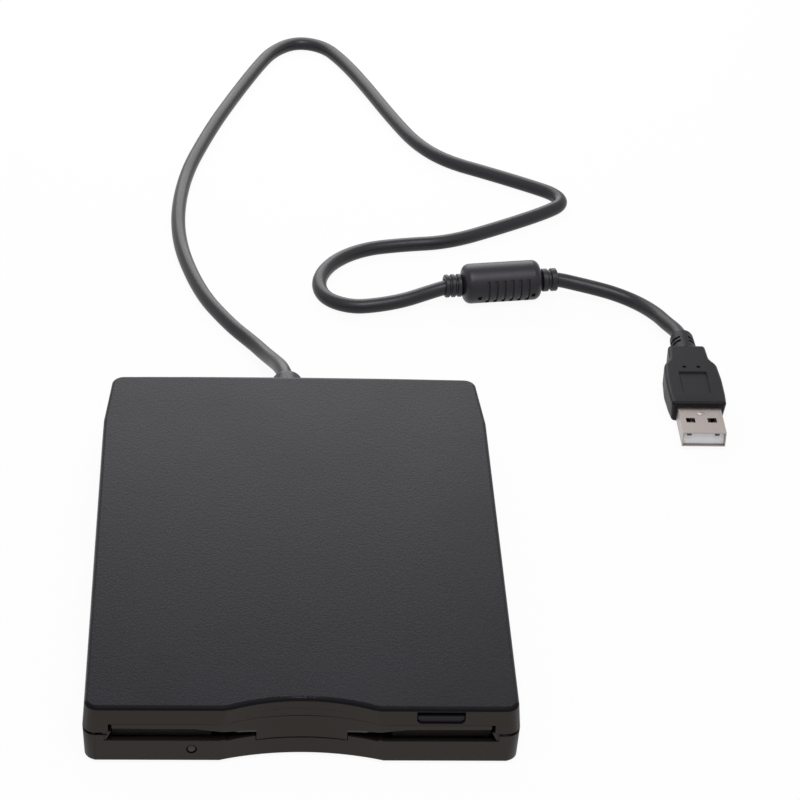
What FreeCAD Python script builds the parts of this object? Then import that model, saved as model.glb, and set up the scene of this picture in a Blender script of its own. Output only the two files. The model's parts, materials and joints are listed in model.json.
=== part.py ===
"""Slim external floppy disk drive with a captive USB cord, as a parametric assembly.

Millimetres.  +Z is up, +X is to the right and +Y runs from the slot to the cord.
The origin is on the table under the middle of the case.  At rest no disk is in the
drive: the disk holder is up, the flap is shut and the eject button is pressed home.
"""
import FreeCAD, Part
import Sketcher
import math
import os

SIZES = {
    # case shells
    "case_side_room": 6.5,
    "case_rear_room": 43.5,
    "case_height": 15.6,
    "seam_height": 8.5,
    "case_wall": 1.6,
    "floor_thickness": 1.5,
    "roof_thickness": 1.5,
    "upper_draft": 4.8,
    "corner_radius": 3.2,
    "top_rounding": 1.0,
    "bottom_rounding": 0.5,
    "taper_length": 21.0,
    "taper_inset": 1.8,
    # finger scoop in the front
    "scoop_half_low": 19.4,
    "scoop_depth_low": 2.9,
    "scoop_half_high": 18.9,
    "scoop_depth_high": 4.35,
    "scoop_inner_margin": 1.6,
    "scoop_inner_rise": 3.3,
    # slot, lip and window in the front
    "slot_side_room": 1.4,
    "slot_end_step": 1.0,
    "band_bottom": 11.5,
    "lip_top": 6.8,
    "scoop_lip_top": 6.4,
    "scoop_lip_half": 18.0,
    "notch_lip_top": 5.15,
    "notch_half": 10.9,
    "window_inset": 19.6,
    "window_width": 11.4,
    "window_bottom": 11.95,
    "window_height": 3.3,
    "window_chamfer": 0.8,
    # feet and case screws
    "foot_protrusion": 0.7,
    "foot_seat": 0.5,
    "foot_radius": 4.0,
    "foot_clearance": 0.1,
    "foot_inset_side": 9.5,
    "foot_inset_end": 13.0,
    "post_radius": 2.3,
    "post_side_inset": 3.8,
    "front_post_inset": 4.0,
    "rear_post_inset": 5.8,
    "rear_post_side_inset": 6.6,
    "screw_radius": 0.9,
    "screw_head_radius": 1.5,
    "screw_head_height": 1.1,
    "screw_bore_clearance": 0.15,
    "head_recess_depth": 2.3,
    "screw_length": 9.0,
    # flap
    "flap_axis_setback": 3.7,
    "flap_axis_height": 12.6,
    "flap_thickness": 1.0,
    "flap_lead": 0.5,
    "flap_side_gap": 1.8,
    "flap_lip_gap": 0.2,
    "flap_skirt": 1.05,
    "flap_skirt_gap": 0.3,
    "flap_tongue_gap": 0.2,
    "strip_setback": 1.5,
    "strip_top": 11.0,
    "strip_bottom": 10.45,
    "strip_flat_half": 28.0,
    "tongue_shoulder": 7.5,
    "scoop_flap_gap": 0.15,
    "flap_notch_half": 19.5,
    "flap_rib_depth": 0.5,
    "flap_rib_low": 8.4,
    "flap_pin_radius": 0.5,
    "pin_run_gap": 0.05,
    "flap_spring_length": 3.6,
    "flap_spring_inset": 3.0,
    "spring_wire": 0.15,
    # eject button
    "button_gap": 0.2,
    "button_setback": 1.0,
    "button_depth": 3.4,
    "tab_width": 6.0,
    "tab_grip": 2.4,
    # indicator light
    "light_offset": 25.9,
    "light_height": 4.25,
    "light_radius": 1.2,
    "light_dome": 0.35,
    "light_board_gap": 0.3,
    "light_body_length": 2.0,
    "light_body_width": 2.6,
    # disk and the passage for it
    "disk_width": 90.0,
    "disk_side_gap": 0.4,
    "disk_front_setback": 4.5,
    "spindle_to_disk_front": 49.0,
    "spindle_to_disk_rear": 45.0,
    "cavity_height": 4.2,
    # disk holder
    "holder_sheet": 0.6,
    "holder_lip_width": 4.4,
    "holder_front_setback": 11.5,
    "holder_rear_gap": 0.4,
    "holder_drop": 1.7,
    "head_gap_half": 9.0,
    "head_gap_start": 17.5,
    "pin_radius": 0.8,
    "pin_below_top": 2.2,
    "pin_front_setback": 14.5,
    "pin_rear_inset": 12.9,
    "pin_slot_gap": 0.15,
    "pin_tail": 0.2,
    # slider plate
    "slider_sheet": 0.6,
    "slider_holder_gap": 0.4,
    "slider_chassis_gap": 0.3,
    "slider_height_gap": 2.0,
    "slider_travel": 4.0,
    "slider_front_setback": 14.0,
    "slider_cross_length": 39.0,
    "slider_arm_width": 7.0,
    "slider_rear_inset": 1.5,
    "slider_wall_low": 5.6,
    "slider_shield_gap": 0.2,
    # chassis
    "base_thickness": 0.8,
    "chassis_wall": 0.8,
    "boss_height": 0.7,
    "boss_radius": 2.5,
    "chassis_front_setback": 6.6,
    "chassis_tail": 28.5,
    "shield_sheet": 0.4,
    "shield_overhang": 0.5,
    "shield_skirt": 1.8,
    "shield_front_setback": 12.0,
    "base_screw_front_x": 33.0,
    "base_screw_front_setback": 23.0,
    "base_screw_rear_side": 4.3,
    "base_screw_rear_inset": 6.0,
    "base_screw_head": 0.8,
    "base_screw_bite": 1.7,
    # motor and spindle
    "rotor_radius": 19.5,
    "rotor_sheet": 0.4,
    "rotor_height": 1.5,
    "rotor_floor_gap": 0.15,
    "rotor_opening_gap": 1.5,
    "magnet_thickness": 1.5,
    "magnet_height": 0.9,
    "air_gap": 0.4,
    "stator_core": 0.5,
    "stator_hub_radius": 6.5,
    "tooth_width": 2.0,
    "tooth_tip_width": 6.4,
    "tooth_tip_length": 1.2,
    "coil_thickness": 0.2,
    "coil_length": 4.6,
    "motor_plate_half": 25.0,
    "motor_plate_thickness": 0.6,
    "motor_screw_circle": 23.0,
    "shaft_radius": 1.25,
    "shaft_gap": 0.03,
    "shaft_rise": 1.1,
    "bearing_radius": 3.4,
    "hub_radius": 12.0,
    "hub_height": 0.7,
    "drive_pin_radius": 1.0,
    "drive_pin_circle": 9.5,
    "drive_pin_rise": 0.8,
    "disk_rotor_gap": 0.3,
    "index_sensor_size": 3.0,
    "index_sensor_height": 0.8,
    # heads and carriage
    "track_zero_radius": 39.5,
    "head_travel": 14.8,
    "carriage_lift": 0.2,
    "carriage_low_thickness": 0.6,
    "carriage_half": 6.0,
    "carriage_nose": 3.2,
    "carriage_end_gap": 0.2,
    "block_length": 5.0,
    "block_left": 12.5,
    "block_right": 12.0,
    "block_shelf": 7.2,
    "rod_block_top": 8.2,
    "tower_top": 10.0,
    "ear_thickness": 1.5,
    "ear_top": 9.6,
    "head_half": 2.5,
    "head_media_gap": 0.1,
    "media_above_disk_bottom": 1.6,
    "arm_hinge_z": 8.4,
    "arm_lift": 10.0,
    "arm_thickness": 0.6,
    "arm_half_rear": 5.6,
    "arm_half_front": 3.6,
    "arm_pin_radius": 0.6,
    "arm_barrel_radius": 1.1,
    "arm_ear_gap": 0.4,
    "arm_spring_room": 3.0,
    "rod_radius": 1.0,
    "rod_x": 9.0,
    "rod_z": 6.2,
    "rod_gap": 0.05,
    "rail_tab_gap": 0.8,
    "rail_tab": 0.8,
    "screw_x": 9.0,
    "screw_z": 7.8,
    "lead_screw_radius": 1.2,
    "lead_screw_room": 0.4,
    "lead_bearing_radius": 2.0,
    "follower_radius": 0.4,
    "flag_reach": 2.6,
    "flag_length": 3.0,
    "flag_thickness": 0.6,
    "flag_rise": 2.2,
    "flag_gap": 0.3,
    "track_sensor_width": 4.0,
    "track_sensor_height": 5.4,
    "motor_tab_gap": 0.7,
    "stepper_radius": 4.0,
    "stepper_length": 8.4,
    "stepper_flange": 0.8,
    "stepper_flange_half": 5.0,
    # shutter lever
    "lever_pivot_inset": 10.0,
    "lever_pivot_setback": 19.5,
    "lever_reach": 23.8,
    "lever_angle": 14.6,
    "lever_sweep": 52.0,
    "lever_width": 5.0,
    "lever_thickness": 0.6,
    "lever_gap": 0.2,
    "lever_pin_radius": 1.0,
    "lever_pin_depth": 3.0,
    "lever_rivet_radius": 1.5,
    "lever_rivet_head": 2.4,
    "lever_rivet_cap": 0.4,
    "lever_slot_gap": 0.4,
    "lever_tail": 5.0,
    # circuit boards
    "board_thickness": 0.6,
    "front_board_end": 1.5,
    "front_board_setback": 5.8,
    "front_board_depth": 12.2,
    "front_board_lift": 0.4,
    "front_opening_gap": 0.5,
    "switch_width": 4.0,
    "switch_height": 1.3,
    "switch_outer_inset": 6.5,
    "switch_inner_inset": 14.0,
    "switch_setback": 9.5,
    "plunger_radius": 0.8,
    "plunger_rise": 1.8,
    "plunger_gap": 0.05,
    "plunger_travel": 1.4,
    "main_board_left": 14.0,
    "main_board_side": 6.3,
    "main_board_gap": 3.5,
    "main_board_length": 24.0,
    "main_board_lift": 0.6,
    "usb_board_left": 32.0,
    "usb_board_right": 36.0,
    "usb_board_gap": 0.4,
    "usb_board_depth": 8.0,
    "usb_board_lift": 1.0,
    "ribbon_thickness": 0.2,
    "ribbon_left": 22.0,
    "ribbon_width": 6.0,
    "bridge_left": 18.0,
    "bridge_width": 14.0,
    # cord and what is on it
    "cord_x": -2.2,
    "cable_radius": 2.15,
    "cable_floor_gap": 0.05,
    "boot_neck_radius": 2.9,
    "boot_flange_radius": 3.7,
    "boot_flange_thickness": 1.2,
    "boot_length": 8.0,
    "boot_root_radius": 3.4,
    "boot_tip_radius": 2.7,
    "wire_radius": 0.4,
    "wire_spacing": 1.1,
    "header_pitch": 2.0,
    "header_height": 3.0,
    # ferrite sleeve on the cord
    "ferrite_start": 5.8,
    "ferrite_radius": 5.9,
    "ferrite_length": 22.2,
    "ferrite_rounding": 2.2,
    "ferrite_bore_gap": 0.1,
    "ferrite_core_inner": 3.2,
    "ferrite_core_outer": 4.6,
    "ferrite_core_margin": 1.7,
    "relief_in_length": 5.4,
    "relief_out_length": 5.0,
    "relief_radius": 3.4,
    "relief_groove": 0.5,
    "relief_ring": 1.0,
    # plug
    "plug_x": 112.6,
    "plug_face_y": 74.6,
    "plug_thickness": 7.4,
    "grip_front_half": 7.7,
    "grip_shoulder_half": 7.5,
    "grip_shoulder": 20.4,
    "grip_neck_half": 5.2,
    "grip_neck": 23.2,
    "grip_rear_half": 4.7,
    "grip_length": 30.4,
    "grip_rounding": 1.4,
    "panel_half": 3.75,
    "panel_start": 6.0,
    "panel_length": 11.0,
    "panel_depth": 0.3,
    "plug_boot_length": 10.9,
    "plug_boot_radius": 3.4,
    "plug_boot_tip": 2.8,
    "plug_boot_slot": 1.1,
    "plug_boot_pitch": 2.6,
    "shell_width": 12.0,
    "shell_height": 4.5,
    "shell_sheet": 0.3,
    "shell_reach": 12.6,
    "shell_seat": 4.0,
    "shell_hole": 2.2,
    "shell_hole_x": 3.0,
    "shell_hole_back": 4.9,
    "tongue_thickness": 1.9,
    "tongue_setback": 0.5,
    "contact_width": 1.1,
    "contact_sheet": 0.1,
    "contact_setback": 1.2,
    "contact_inner_x": 1.0,
    "contact_outer_x": 3.5,
}


class Size:
    """A number together with the sheet expression that gives it."""

    def __init__(self, value, text):
        self.value = value
        self.text = text

    def __add__(self, other):
        other = as_size(other)
        return Size(self.value + other.value, f"({self.text} + {other.text})")

    def __radd__(self, other):
        return as_size(other) + self

    def __sub__(self, other):
        other = as_size(other)
        return Size(self.value - other.value, f"({self.text} - {other.text})")

    def __rsub__(self, other):
        return as_size(other) - self

    def __mul__(self, other):
        other = as_size(other)
        return Size(self.value * other.value, f"({self.text} * {other.text})")

    def __rmul__(self, other):
        return as_size(other) * self

    def __truediv__(self, other):
        other = as_size(other)
        return Size(self.value / other.value, f"({self.text} / {other.text})")

    def __neg__(self):
        return Size(-self.value, f"(0 - {self.text})")

    def __float__(self):
        return self.value


def as_size(number):
    """The number as a Size, so that plain numbers and sheet sizes mix."""
    if isinstance(number, Size):
        return number
    return Size(float(number), repr(float(number)))


def larger(size):
    """The size without its sign."""
    size = as_size(size)
    return -size if size.value < 0 else size


doc = FreeCAD.newDocument("floppy_drive")
sheet = doc.addObject("Spreadsheet::Sheet", "dims")


class Dimensions:
    """The sheet's cells by name."""


d = Dimensions()
for row, (size_name, number) in enumerate(SIZES.items(), start=1):
    sheet.set(f"A{row}", size_name)
    sheet.set(f"B{row}", str(number))
    sheet.setAlias(f"B{row}", size_name)
    setattr(d, size_name, Size(float(number), f"dims.{size_name}"))
doc.recompute()

Vector = FreeCAD.Vector
SIDES = (-1, 1)
START, END, CENTRE = 1, 2, 3
SKETCH_ORIGIN = -1
TURN_TO_Y = FreeCAD.Rotation(Vector(1, 0, 0), -90)
TURN_TO_X = FreeCAD.Rotation(Vector(0, 1, 0), 90)
NO_TURN = FreeCAD.Rotation()
AXIS_TURNS = {"X": TURN_TO_X, "Y": TURN_TO_Y, "Z": NO_TURN}


# ---------------------------------------------------------------- levels and places

body_bottom = d.foot_protrusion
body_top = body_bottom + d.case_height
seam = body_bottom + d.seam_height
floor_top = body_bottom + d.floor_thickness
roof_under = body_top - d.roof_thickness
half_width = d.disk_width / 2 + d.case_side_room
disk_length = d.spindle_to_disk_front + d.spindle_to_disk_rear
case_length = d.disk_front_setback + disk_length + d.case_rear_room
front = -case_length / 2
rear = case_length / 2
inner_half = half_width - d.case_wall
inner_front = front + d.case_wall
inner_rear = rear - d.case_wall

base_low = floor_top + d.boss_height
base_top = base_low + d.base_thickness
rotor_top = base_low + d.rotor_height
loaded_disk_bottom = rotor_top + d.disk_rotor_gap
cavity_low = loaded_disk_bottom + d.holder_drop
cavity_top = cavity_low + d.cavity_height
holder_top = cavity_top + d.holder_sheet
slider_low = holder_top + d.slider_height_gap
slider_top = slider_low + d.slider_sheet
shield_low = slider_top + d.slider_shield_gap

disk_front = front + d.disk_front_setback
spindle_y = disk_front + d.spindle_to_disk_front
disk_rear = spindle_y + d.spindle_to_disk_rear
holder_inner = d.disk_width / 2 + d.disk_side_gap
holder_outer = holder_inner + d.holder_sheet
slider_inner = holder_outer + d.slider_holder_gap
slider_outer = slider_inner + d.slider_sheet
chassis_inner = slider_outer + d.slider_chassis_gap
chassis_outer = chassis_inner + d.chassis_wall
chassis_front = front + d.chassis_front_setback
chassis_rear = disk_rear + d.chassis_tail
holder_front = front + d.holder_front_setback
holder_rear = disk_rear + d.holder_rear_gap
pin_front_y = holder_front + d.pin_front_setback
pin_rear_y = holder_rear - d.pin_rear_inset
pin_z = holder_top - d.pin_below_top
pin_end = chassis_outer + d.pin_tail
slider_rear = disk_rear - d.slider_rear_inset
lever_pivot_x = d.disk_width / 2 - d.lever_pivot_inset
lever_pivot_y = spindle_y + d.lever_pivot_setback

flap_axis_y = front + d.flap_axis_setback
flap_face_y = flap_axis_y - d.flap_lead
flap_back_y = flap_face_y + d.flap_thickness
slot_half = d.disk_width / 2 + d.slot_side_room
flap_half = slot_half - d.flap_side_gap

head_y = spindle_y + d.track_zero_radius
head_contact_z = loaded_disk_bottom + d.media_above_disk_bottom
rail_tab_y = holder_rear + d.rail_tab_gap
block_front_y = rail_tab_y + d.rail_tab + d.head_travel + d.carriage_end_gap
block_rear_y = block_front_y + d.block_length
arm_hinge_y = block_front_y + d.block_length / 2
motor_tab_y = block_rear_y + d.motor_tab_gap
front_board_y = front + d.front_board_setback
front_board_low = floor_top + d.front_board_lift
front_board_top = front_board_low + d.board_thickness
switch_outer_x = d.disk_width / 2 - d.switch_outer_inset
switch_inner_x = d.disk_width / 2 - d.switch_inner_inset
front_board_half = switch_outer_x + d.front_board_end
main_board_front = disk_rear + d.main_board_gap
main_board_right = chassis_inner - d.main_board_side


# ---------------------------------------------------------------- drawing helpers

def bind(thing, prop, size):
    """Tie a property to the sheet."""
    thing.setExpression(prop, as_size(size).text)


def hold_point(sketch, geometry, point, x, y):
    """Fix one point of a sketch by its two distances from the sketch's origin."""
    for kind, size in (("DistanceX", as_size(x)), ("DistanceY", as_size(y))):
        index = sketch.addConstraint(
            Sketcher.Constraint(kind, SKETCH_ORIGIN, START, geometry, point, size.value))
        bind(sketch, f"Constraints[{index}]", size)


def hold_radius(sketch, geometry, radius):
    """Fix the radius of a circle or arc."""
    index = sketch.addConstraint(Sketcher.Constraint("Radius", geometry, float(radius)))
    bind(sketch, f"Constraints[{index}]", radius)


def circle(x, y, radius):
    """A round loop."""
    def draw(sketch):
        shape = Part.Circle(Vector(float(x), float(y), 0), Vector(0, 0, 1), float(radius))
        geometry = sketch.addGeometry(shape, False)
        hold_point(sketch, geometry, CENTRE, x, y)
        hold_radius(sketch, geometry, radius)
    return draw


def rectangle(x_range, y_range):
    """A loop with four square corners."""
    (left, right), (low, high) = x_range, y_range
    return outline([(left, low), (right, low), (right, high), (left, high)])


def bulge_centre(begin, finish, rise):
    """Centre and radius of the arc that rises to the left of the line by `rise`."""
    chord = finish - begin
    half = chord.Length / 2
    radius = (half ** 2 + rise ** 2) / (2 * abs(rise))
    left = Vector(-chord.y, chord.x, 0).normalize()
    toward = 1 if rise > 0 else -1
    centre = (begin + finish) * 0.5 + left * (rise - toward * radius)
    return centre, radius


def bulge_radius(begin, finish, rise):
    """The same radius as a size, for a chord that runs along X or along Y."""
    along_x = as_size(finish[0]) - as_size(begin[0])
    along_y = as_size(finish[1]) - as_size(begin[1])
    chord = along_x if abs(along_x.value) > abs(along_y.value) else along_y
    half = larger(chord) / 2
    rise = larger(rise)
    return (half * half + rise * rise) / (2 * rise)


def outline(items):
    """A closed loop.  Pairs are corners; a lone size bows the line after its corner."""
    corners = [item for item in items if isinstance(item, tuple)]
    rises = []
    for item in items:
        if isinstance(item, tuple):
            rises.append(None)
        else:
            rises[-1] = as_size(item)

    def draw(sketch):
        count = len(corners)
        sides = []
        for index in range(count):
            begin = corners[index]
            finish = corners[(index + 1) % count]
            begin_point = Vector(float(begin[0]), float(begin[1]), 0)
            finish_point = Vector(float(finish[0]), float(finish[1]), 0)
            rise = rises[index]
            if rise is None:
                line = Part.LineSegment(begin_point, finish_point)
                sides.append((sketch.addGeometry(line, False), START, END))
                continue
            centre, radius = bulge_centre(begin_point, finish_point, rise.value)
            first = math.atan2(begin_point.y - centre.y, begin_point.x - centre.x)
            last = math.atan2(finish_point.y - centre.y, finish_point.x - centre.x)
            round_shape = Part.Circle(centre, Vector(0, 0, 1), radius)
            if rise.value > 0:
                arc = Part.ArcOfCircle(round_shape, last, first)
                side = (sketch.addGeometry(arc, False), END, START)
            else:
                arc = Part.ArcOfCircle(round_shape, first, last)
                side = (sketch.addGeometry(arc, False), START, END)
            sides.append(side)
            hold_radius(sketch, side[0], bulge_radius(begin, finish, rise))
        for index, (geometry, begin_end, finish_end) in enumerate(sides):
            following, next_begin, _ = sides[(index + 1) % count]
            sketch.addConstraint(
                Sketcher.Constraint("Coincident", geometry, finish_end, following, next_begin))
            hold_point(sketch, geometry, begin_end, *corners[index])
    return draw


def slot(first, last, radius):
    """A loop with round ends about two points."""
    def draw(sketch):
        begin = Vector(float(first[0]), float(first[1]), 0)
        finish = Vector(float(last[0]), float(last[1]), 0)
        angle = math.atan2(finish.y - begin.y, finish.x - begin.x)
        quarter = math.pi / 2
        side = Vector(-math.sin(angle), math.cos(angle), 0) * float(radius)
        begin_circle = Part.Circle(begin, Vector(0, 0, 1), float(radius))
        finish_circle = Part.Circle(finish, Vector(0, 0, 1), float(radius))
        shapes = (
            Part.ArcOfCircle(begin_circle, angle + quarter, angle + 3 * quarter),
            Part.LineSegment(begin - side, finish - side),
            Part.ArcOfCircle(finish_circle, angle - quarter, angle + quarter),
            Part.LineSegment(finish + side, begin + side),
        )
        loop = [sketch.addGeometry(shape, False) for shape in shapes]
        for index, geometry in enumerate(loop):
            following = loop[(index + 1) % len(loop)]
            sketch.addConstraint(Sketcher.Constraint("Tangent", geometry, END, following, START))
        sketch.addConstraint(Sketcher.Constraint("Equal", loop[0], loop[2]))
        hold_point(sketch, loop[0], CENTRE, *first)
        hold_point(sketch, loop[2], CENTRE, *last)
        hold_radius(sketch, loop[0], radius)
    return draw


def new_body(label, x=0, y=0, z=0):
    """An empty PartDesign body whose own origin is at the given place."""
    body = doc.addObject("PartDesign::Body", label)
    body.Label = label
    for axis, place in zip("xyz", (x, y, z)):
        bind(body, f"Placement.Base.{axis}", place)
    return body


def sketch_on(body, name, plane_role, height, loops):
    """A sketch on one of the body's origin planes, moved along the plane's normal."""
    sketch = body.newObject("Sketcher::SketchObject", name)
    planes = body.Origin.OriginFeatures
    support = next(plane for plane in planes if plane.Role == plane_role)
    sketch.AttachmentSupport = [(support, "")]
    sketch.MapMode = "FlatFace"
    bind(sketch, "AttachmentOffset.Base.z", height)
    for draw in loops:
        draw(sketch)
    return sketch


def pad(body, name, plane, low, high, loops):
    """Add material between two levels.  plane is XY, XZ or YZ; XZ faces the front."""
    height = -as_size(high) if plane == "XZ" else low
    feature = body.newObject("PartDesign::Pad", name)
    feature.Profile = sketch_on(body, f"{name}_sketch", f"{plane}_Plane", height, loops)
    bind(feature, "Length", as_size(high) - as_size(low))
    body.Tip = feature
    return feature


def pocket(body, name, plane, low, high, loops):
    """Take material away between two levels."""
    height = -as_size(low) if plane == "XZ" else high
    feature = body.newObject("PartDesign::Pocket", name)
    feature.Profile = sketch_on(body, f"{name}_sketch", f"{plane}_Plane", height, loops)
    bind(feature, "Length", as_size(high) - as_size(low))
    body.Tip = feature
    return feature


def loft(body, name, kind, low, high, low_loop, high_loop):
    """Blend between two loops at two heights; kind is Additive or Subtractive."""
    lower = sketch_on(body, f"{name}_low", "XY_Plane", low, [low_loop])
    upper = sketch_on(body, f"{name}_high", "XY_Plane", high, [high_loop])
    feature = body.newObject(f"PartDesign::{kind}Loft", name)
    feature.Profile = lower
    feature.Sections = [upper]
    body.Tip = feature
    return feature


def revolve(body, name, loops):
    """Turn a profile, drawn as radius against height, about the body's own Z axis."""
    sketch = sketch_on(body, f"{name}_sketch", "XZ_Plane", 0, loops)
    feature = body.newObject("PartDesign::Revolution", name)
    feature.Profile = sketch
    feature.ReferenceAxis = (sketch, ["V_Axis"])
    feature.Angle = 360
    body.Tip = feature
    return feature


def round_edges(body, name, radius, keep):
    """Round the edges of the body's tip that pass the test."""
    doc.recompute()
    base = body.Tip
    names = [f"Edge{index}" for index, edge in enumerate(base.Shape.Edges, start=1) if keep(edge)]
    feature = body.newObject("PartDesign::Fillet", name)
    feature.Base = (base, names)
    bind(feature, "Radius", radius)
    body.Tip = feature
    return feature


def box(name, x_range, y_range, z_range):
    """A block between three pairs of faces."""
    block = doc.addObject("Part::Box", name)
    ranges = (x_range, y_range, z_range)
    for prop, axis, (low, high) in zip(("Length", "Width", "Height"), "xyz", ranges):
        bind(block, prop, as_size(high) - as_size(low))
        bind(block, f"Placement.Base.{axis}", low)
    return block


def rod(name, centre, radius, axis, low, high):
    """A round bar along X, Y or Z; centre gives its other two coordinates in order."""
    bar = doc.addObject("Part::Cylinder", name)
    bar.Placement = FreeCAD.Placement(Vector(), AXIS_TURNS[axis])
    bind(bar, "Radius", radius)
    bind(bar, "Height", as_size(high) - as_size(low))
    others = iter(centre)
    for letter in "XYZ":
        place = low if letter == axis else next(others)
        bind(bar, f"Placement.Base.{letter.lower()}", place)
    return bar


def fuse(label, pieces):
    """One solid from pieces that touch or overlap."""
    joined = doc.addObject("Part::MultiFuse", label)
    joined.Shapes = pieces
    joined.Refine = True
    joined.Label = label
    return joined


def group(label, pieces):
    """Separate solids of one kind kept together."""
    kept = doc.addObject("Part::Compound", label)
    kept.Links = pieces
    kept.Label = label
    return kept


def cut(label, base, tools):
    """The base less the tools."""
    remains = doc.addObject("Part::Cut", label)
    remains.Base = base
    remains.Tool = tools[0] if len(tools) == 1 else group(f"{label}_tools", tools)
    remains.Refine = True
    remains.Label = label
    return remains


def ring(name, centre, inner, outer, axis, low, high):
    """A tube along X, Y or Z."""
    shell = rod(f"{name}_outside", centre, outer, axis, low, high)
    bore = rod(f"{name}_bore", centre, inner, axis, low, high)
    return cut(name, shell, [bore])


def on_side(side, near, far):
    """The X range between two distances from the middle, on the given side."""
    return (near, far) if side > 0 else (-far, -near)


def cosine(angle):
    """Cosine of an angle in degrees."""
    return Size(math.cos(math.radians(angle.value)), f"cos({angle.text} * 1deg)")


def sine(angle):
    """Sine of an angle in degrees."""
    return Size(math.sin(math.radians(angle.value)), f"sin({angle.text} * 1deg)")


def flag(low, high):
    """The pair in rising order."""
    return (low, high) if float(low) < float(high) else (high, low)


# ---------------------------------------------------------------- case

post_places = []
for side in SIDES:
    post_places.append((side * (half_width - d.post_side_inset), front + d.front_post_inset))
    post_places.append((side * (half_width - d.rear_post_side_inset), rear - d.rear_post_inset))
foot_places = [
    (across * (half_width - d.foot_inset_side), along * (rear - d.foot_inset_end))
    for across in SIDES for along in SIDES
]
base_screw_places = []
for side in SIDES:
    base_screw_places.append((side * d.base_screw_front_x, front + d.base_screw_front_setback))
    base_screw_places.append((side * (chassis_inner - d.base_screw_rear_side),
                              chassis_rear - d.base_screw_rear_inset))
head_seat = body_bottom + d.head_recess_depth
case_screw_tip = head_seat + d.screw_length
base_screw_tip = base_low - d.base_screw_bite
bump_half = d.scoop_half_low + d.scoop_inner_margin
bump_back = inner_front + d.scoop_inner_rise
window_left = slot_half - d.window_inset
window_right = window_left + d.window_width
window_top = d.window_bottom + d.window_height
button_front = front + d.button_setback
button_back = button_front + d.button_depth
lens_bore = d.light_radius + d.pin_run_gap


def case_plan():
    """Plan of the case: square corners, sides drawn in toward the rear."""
    bend = rear - d.taper_length
    narrow = half_width - d.taper_inset
    return outline([(-half_width, front), (half_width, front), (half_width, bend),
                    (narrow, rear), (-narrow, rear), (-half_width, bend)])


def cavity_plan():
    """Plan of the hollow, with the bump that follows the finger scoop."""
    clip = d.corner_radius / 2
    bend = rear - d.taper_length
    narrow = inner_half - d.taper_inset
    return outline([
        (-inner_half, inner_front + clip), (-inner_half + clip, inner_front),
        (-bump_half, inner_front), d.scoop_inner_rise, (bump_half, inner_front),
        (inner_half - clip, inner_front), (inner_half, inner_front + clip),
        (inner_half, bend), (narrow, inner_rear - clip), (narrow - clip, inner_rear),
        (-narrow + clip, inner_rear), (-narrow, inner_rear - clip), (-inner_half, bend)])


def scoop_plan(half, depth):
    """Plan of what the finger scoop takes away at one height."""
    outside = front - d.scoop_depth_high
    return outline([(-half, front), depth, (half, front), (half, outside), (-half, outside)])


def cut_scoop(body, set_back=0):
    """Take the finger scoop out of a front face."""
    margin = d.foot_protrusion / 2
    loft(body, "scoop", "Subtractive", body_bottom - margin, body_top + margin,
         scoop_plan(d.scoop_half_low, d.scoop_depth_low + set_back),
         scoop_plan(d.scoop_half_high, d.scoop_depth_high + set_back))


def is_corner(edge):
    """True for the upright edges at the four corners of the plan."""
    middle = edge.BoundBox.Center
    upright = edge.BoundBox.ZLength > float(d.seam_height) / 2
    at_side = abs(middle.x) > float(half_width - d.corner_radius)
    at_end = abs(middle.y) > float(rear - d.corner_radius)
    return upright and at_side and at_end


def is_scoop_end(edge):
    """True for the two upright edges where the scoop leaves the front face."""
    middle = edge.BoundBox.Center
    upright = edge.BoundBox.ZLength > float(d.seam_height) / 2
    near_scoop = abs(abs(middle.x) - float(d.scoop_half_high)) < float(d.corner_radius)
    return upright and near_scoop and middle.y < 0


def lip_points(outer):
    """The top of the lower shell's front wall, left to right, above which it is open."""
    over = seam + d.lip_top
    return [
        (-outer, over), (-outer, d.lip_top), (-d.scoop_lip_half, d.lip_top),
        (-d.scoop_lip_half, d.scoop_lip_top), (-d.notch_half, d.scoop_lip_top),
        (-d.notch_half, d.notch_lip_top), (d.notch_half, d.notch_lip_top),
        (d.notch_half, d.scoop_lip_top), (d.scoop_lip_half, d.scoop_lip_top),
        (d.scoop_lip_half, d.lip_top), (outer, d.lip_top), (outer, over)]


def boot_bore(body, low, high):
    """Let the cord's strain relief through the rear wall, half in each shell."""
    pocket(body, "cord_bore", "XZ", low, high, [circle(d.cord_x, seam, d.boot_neck_radius)])


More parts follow.
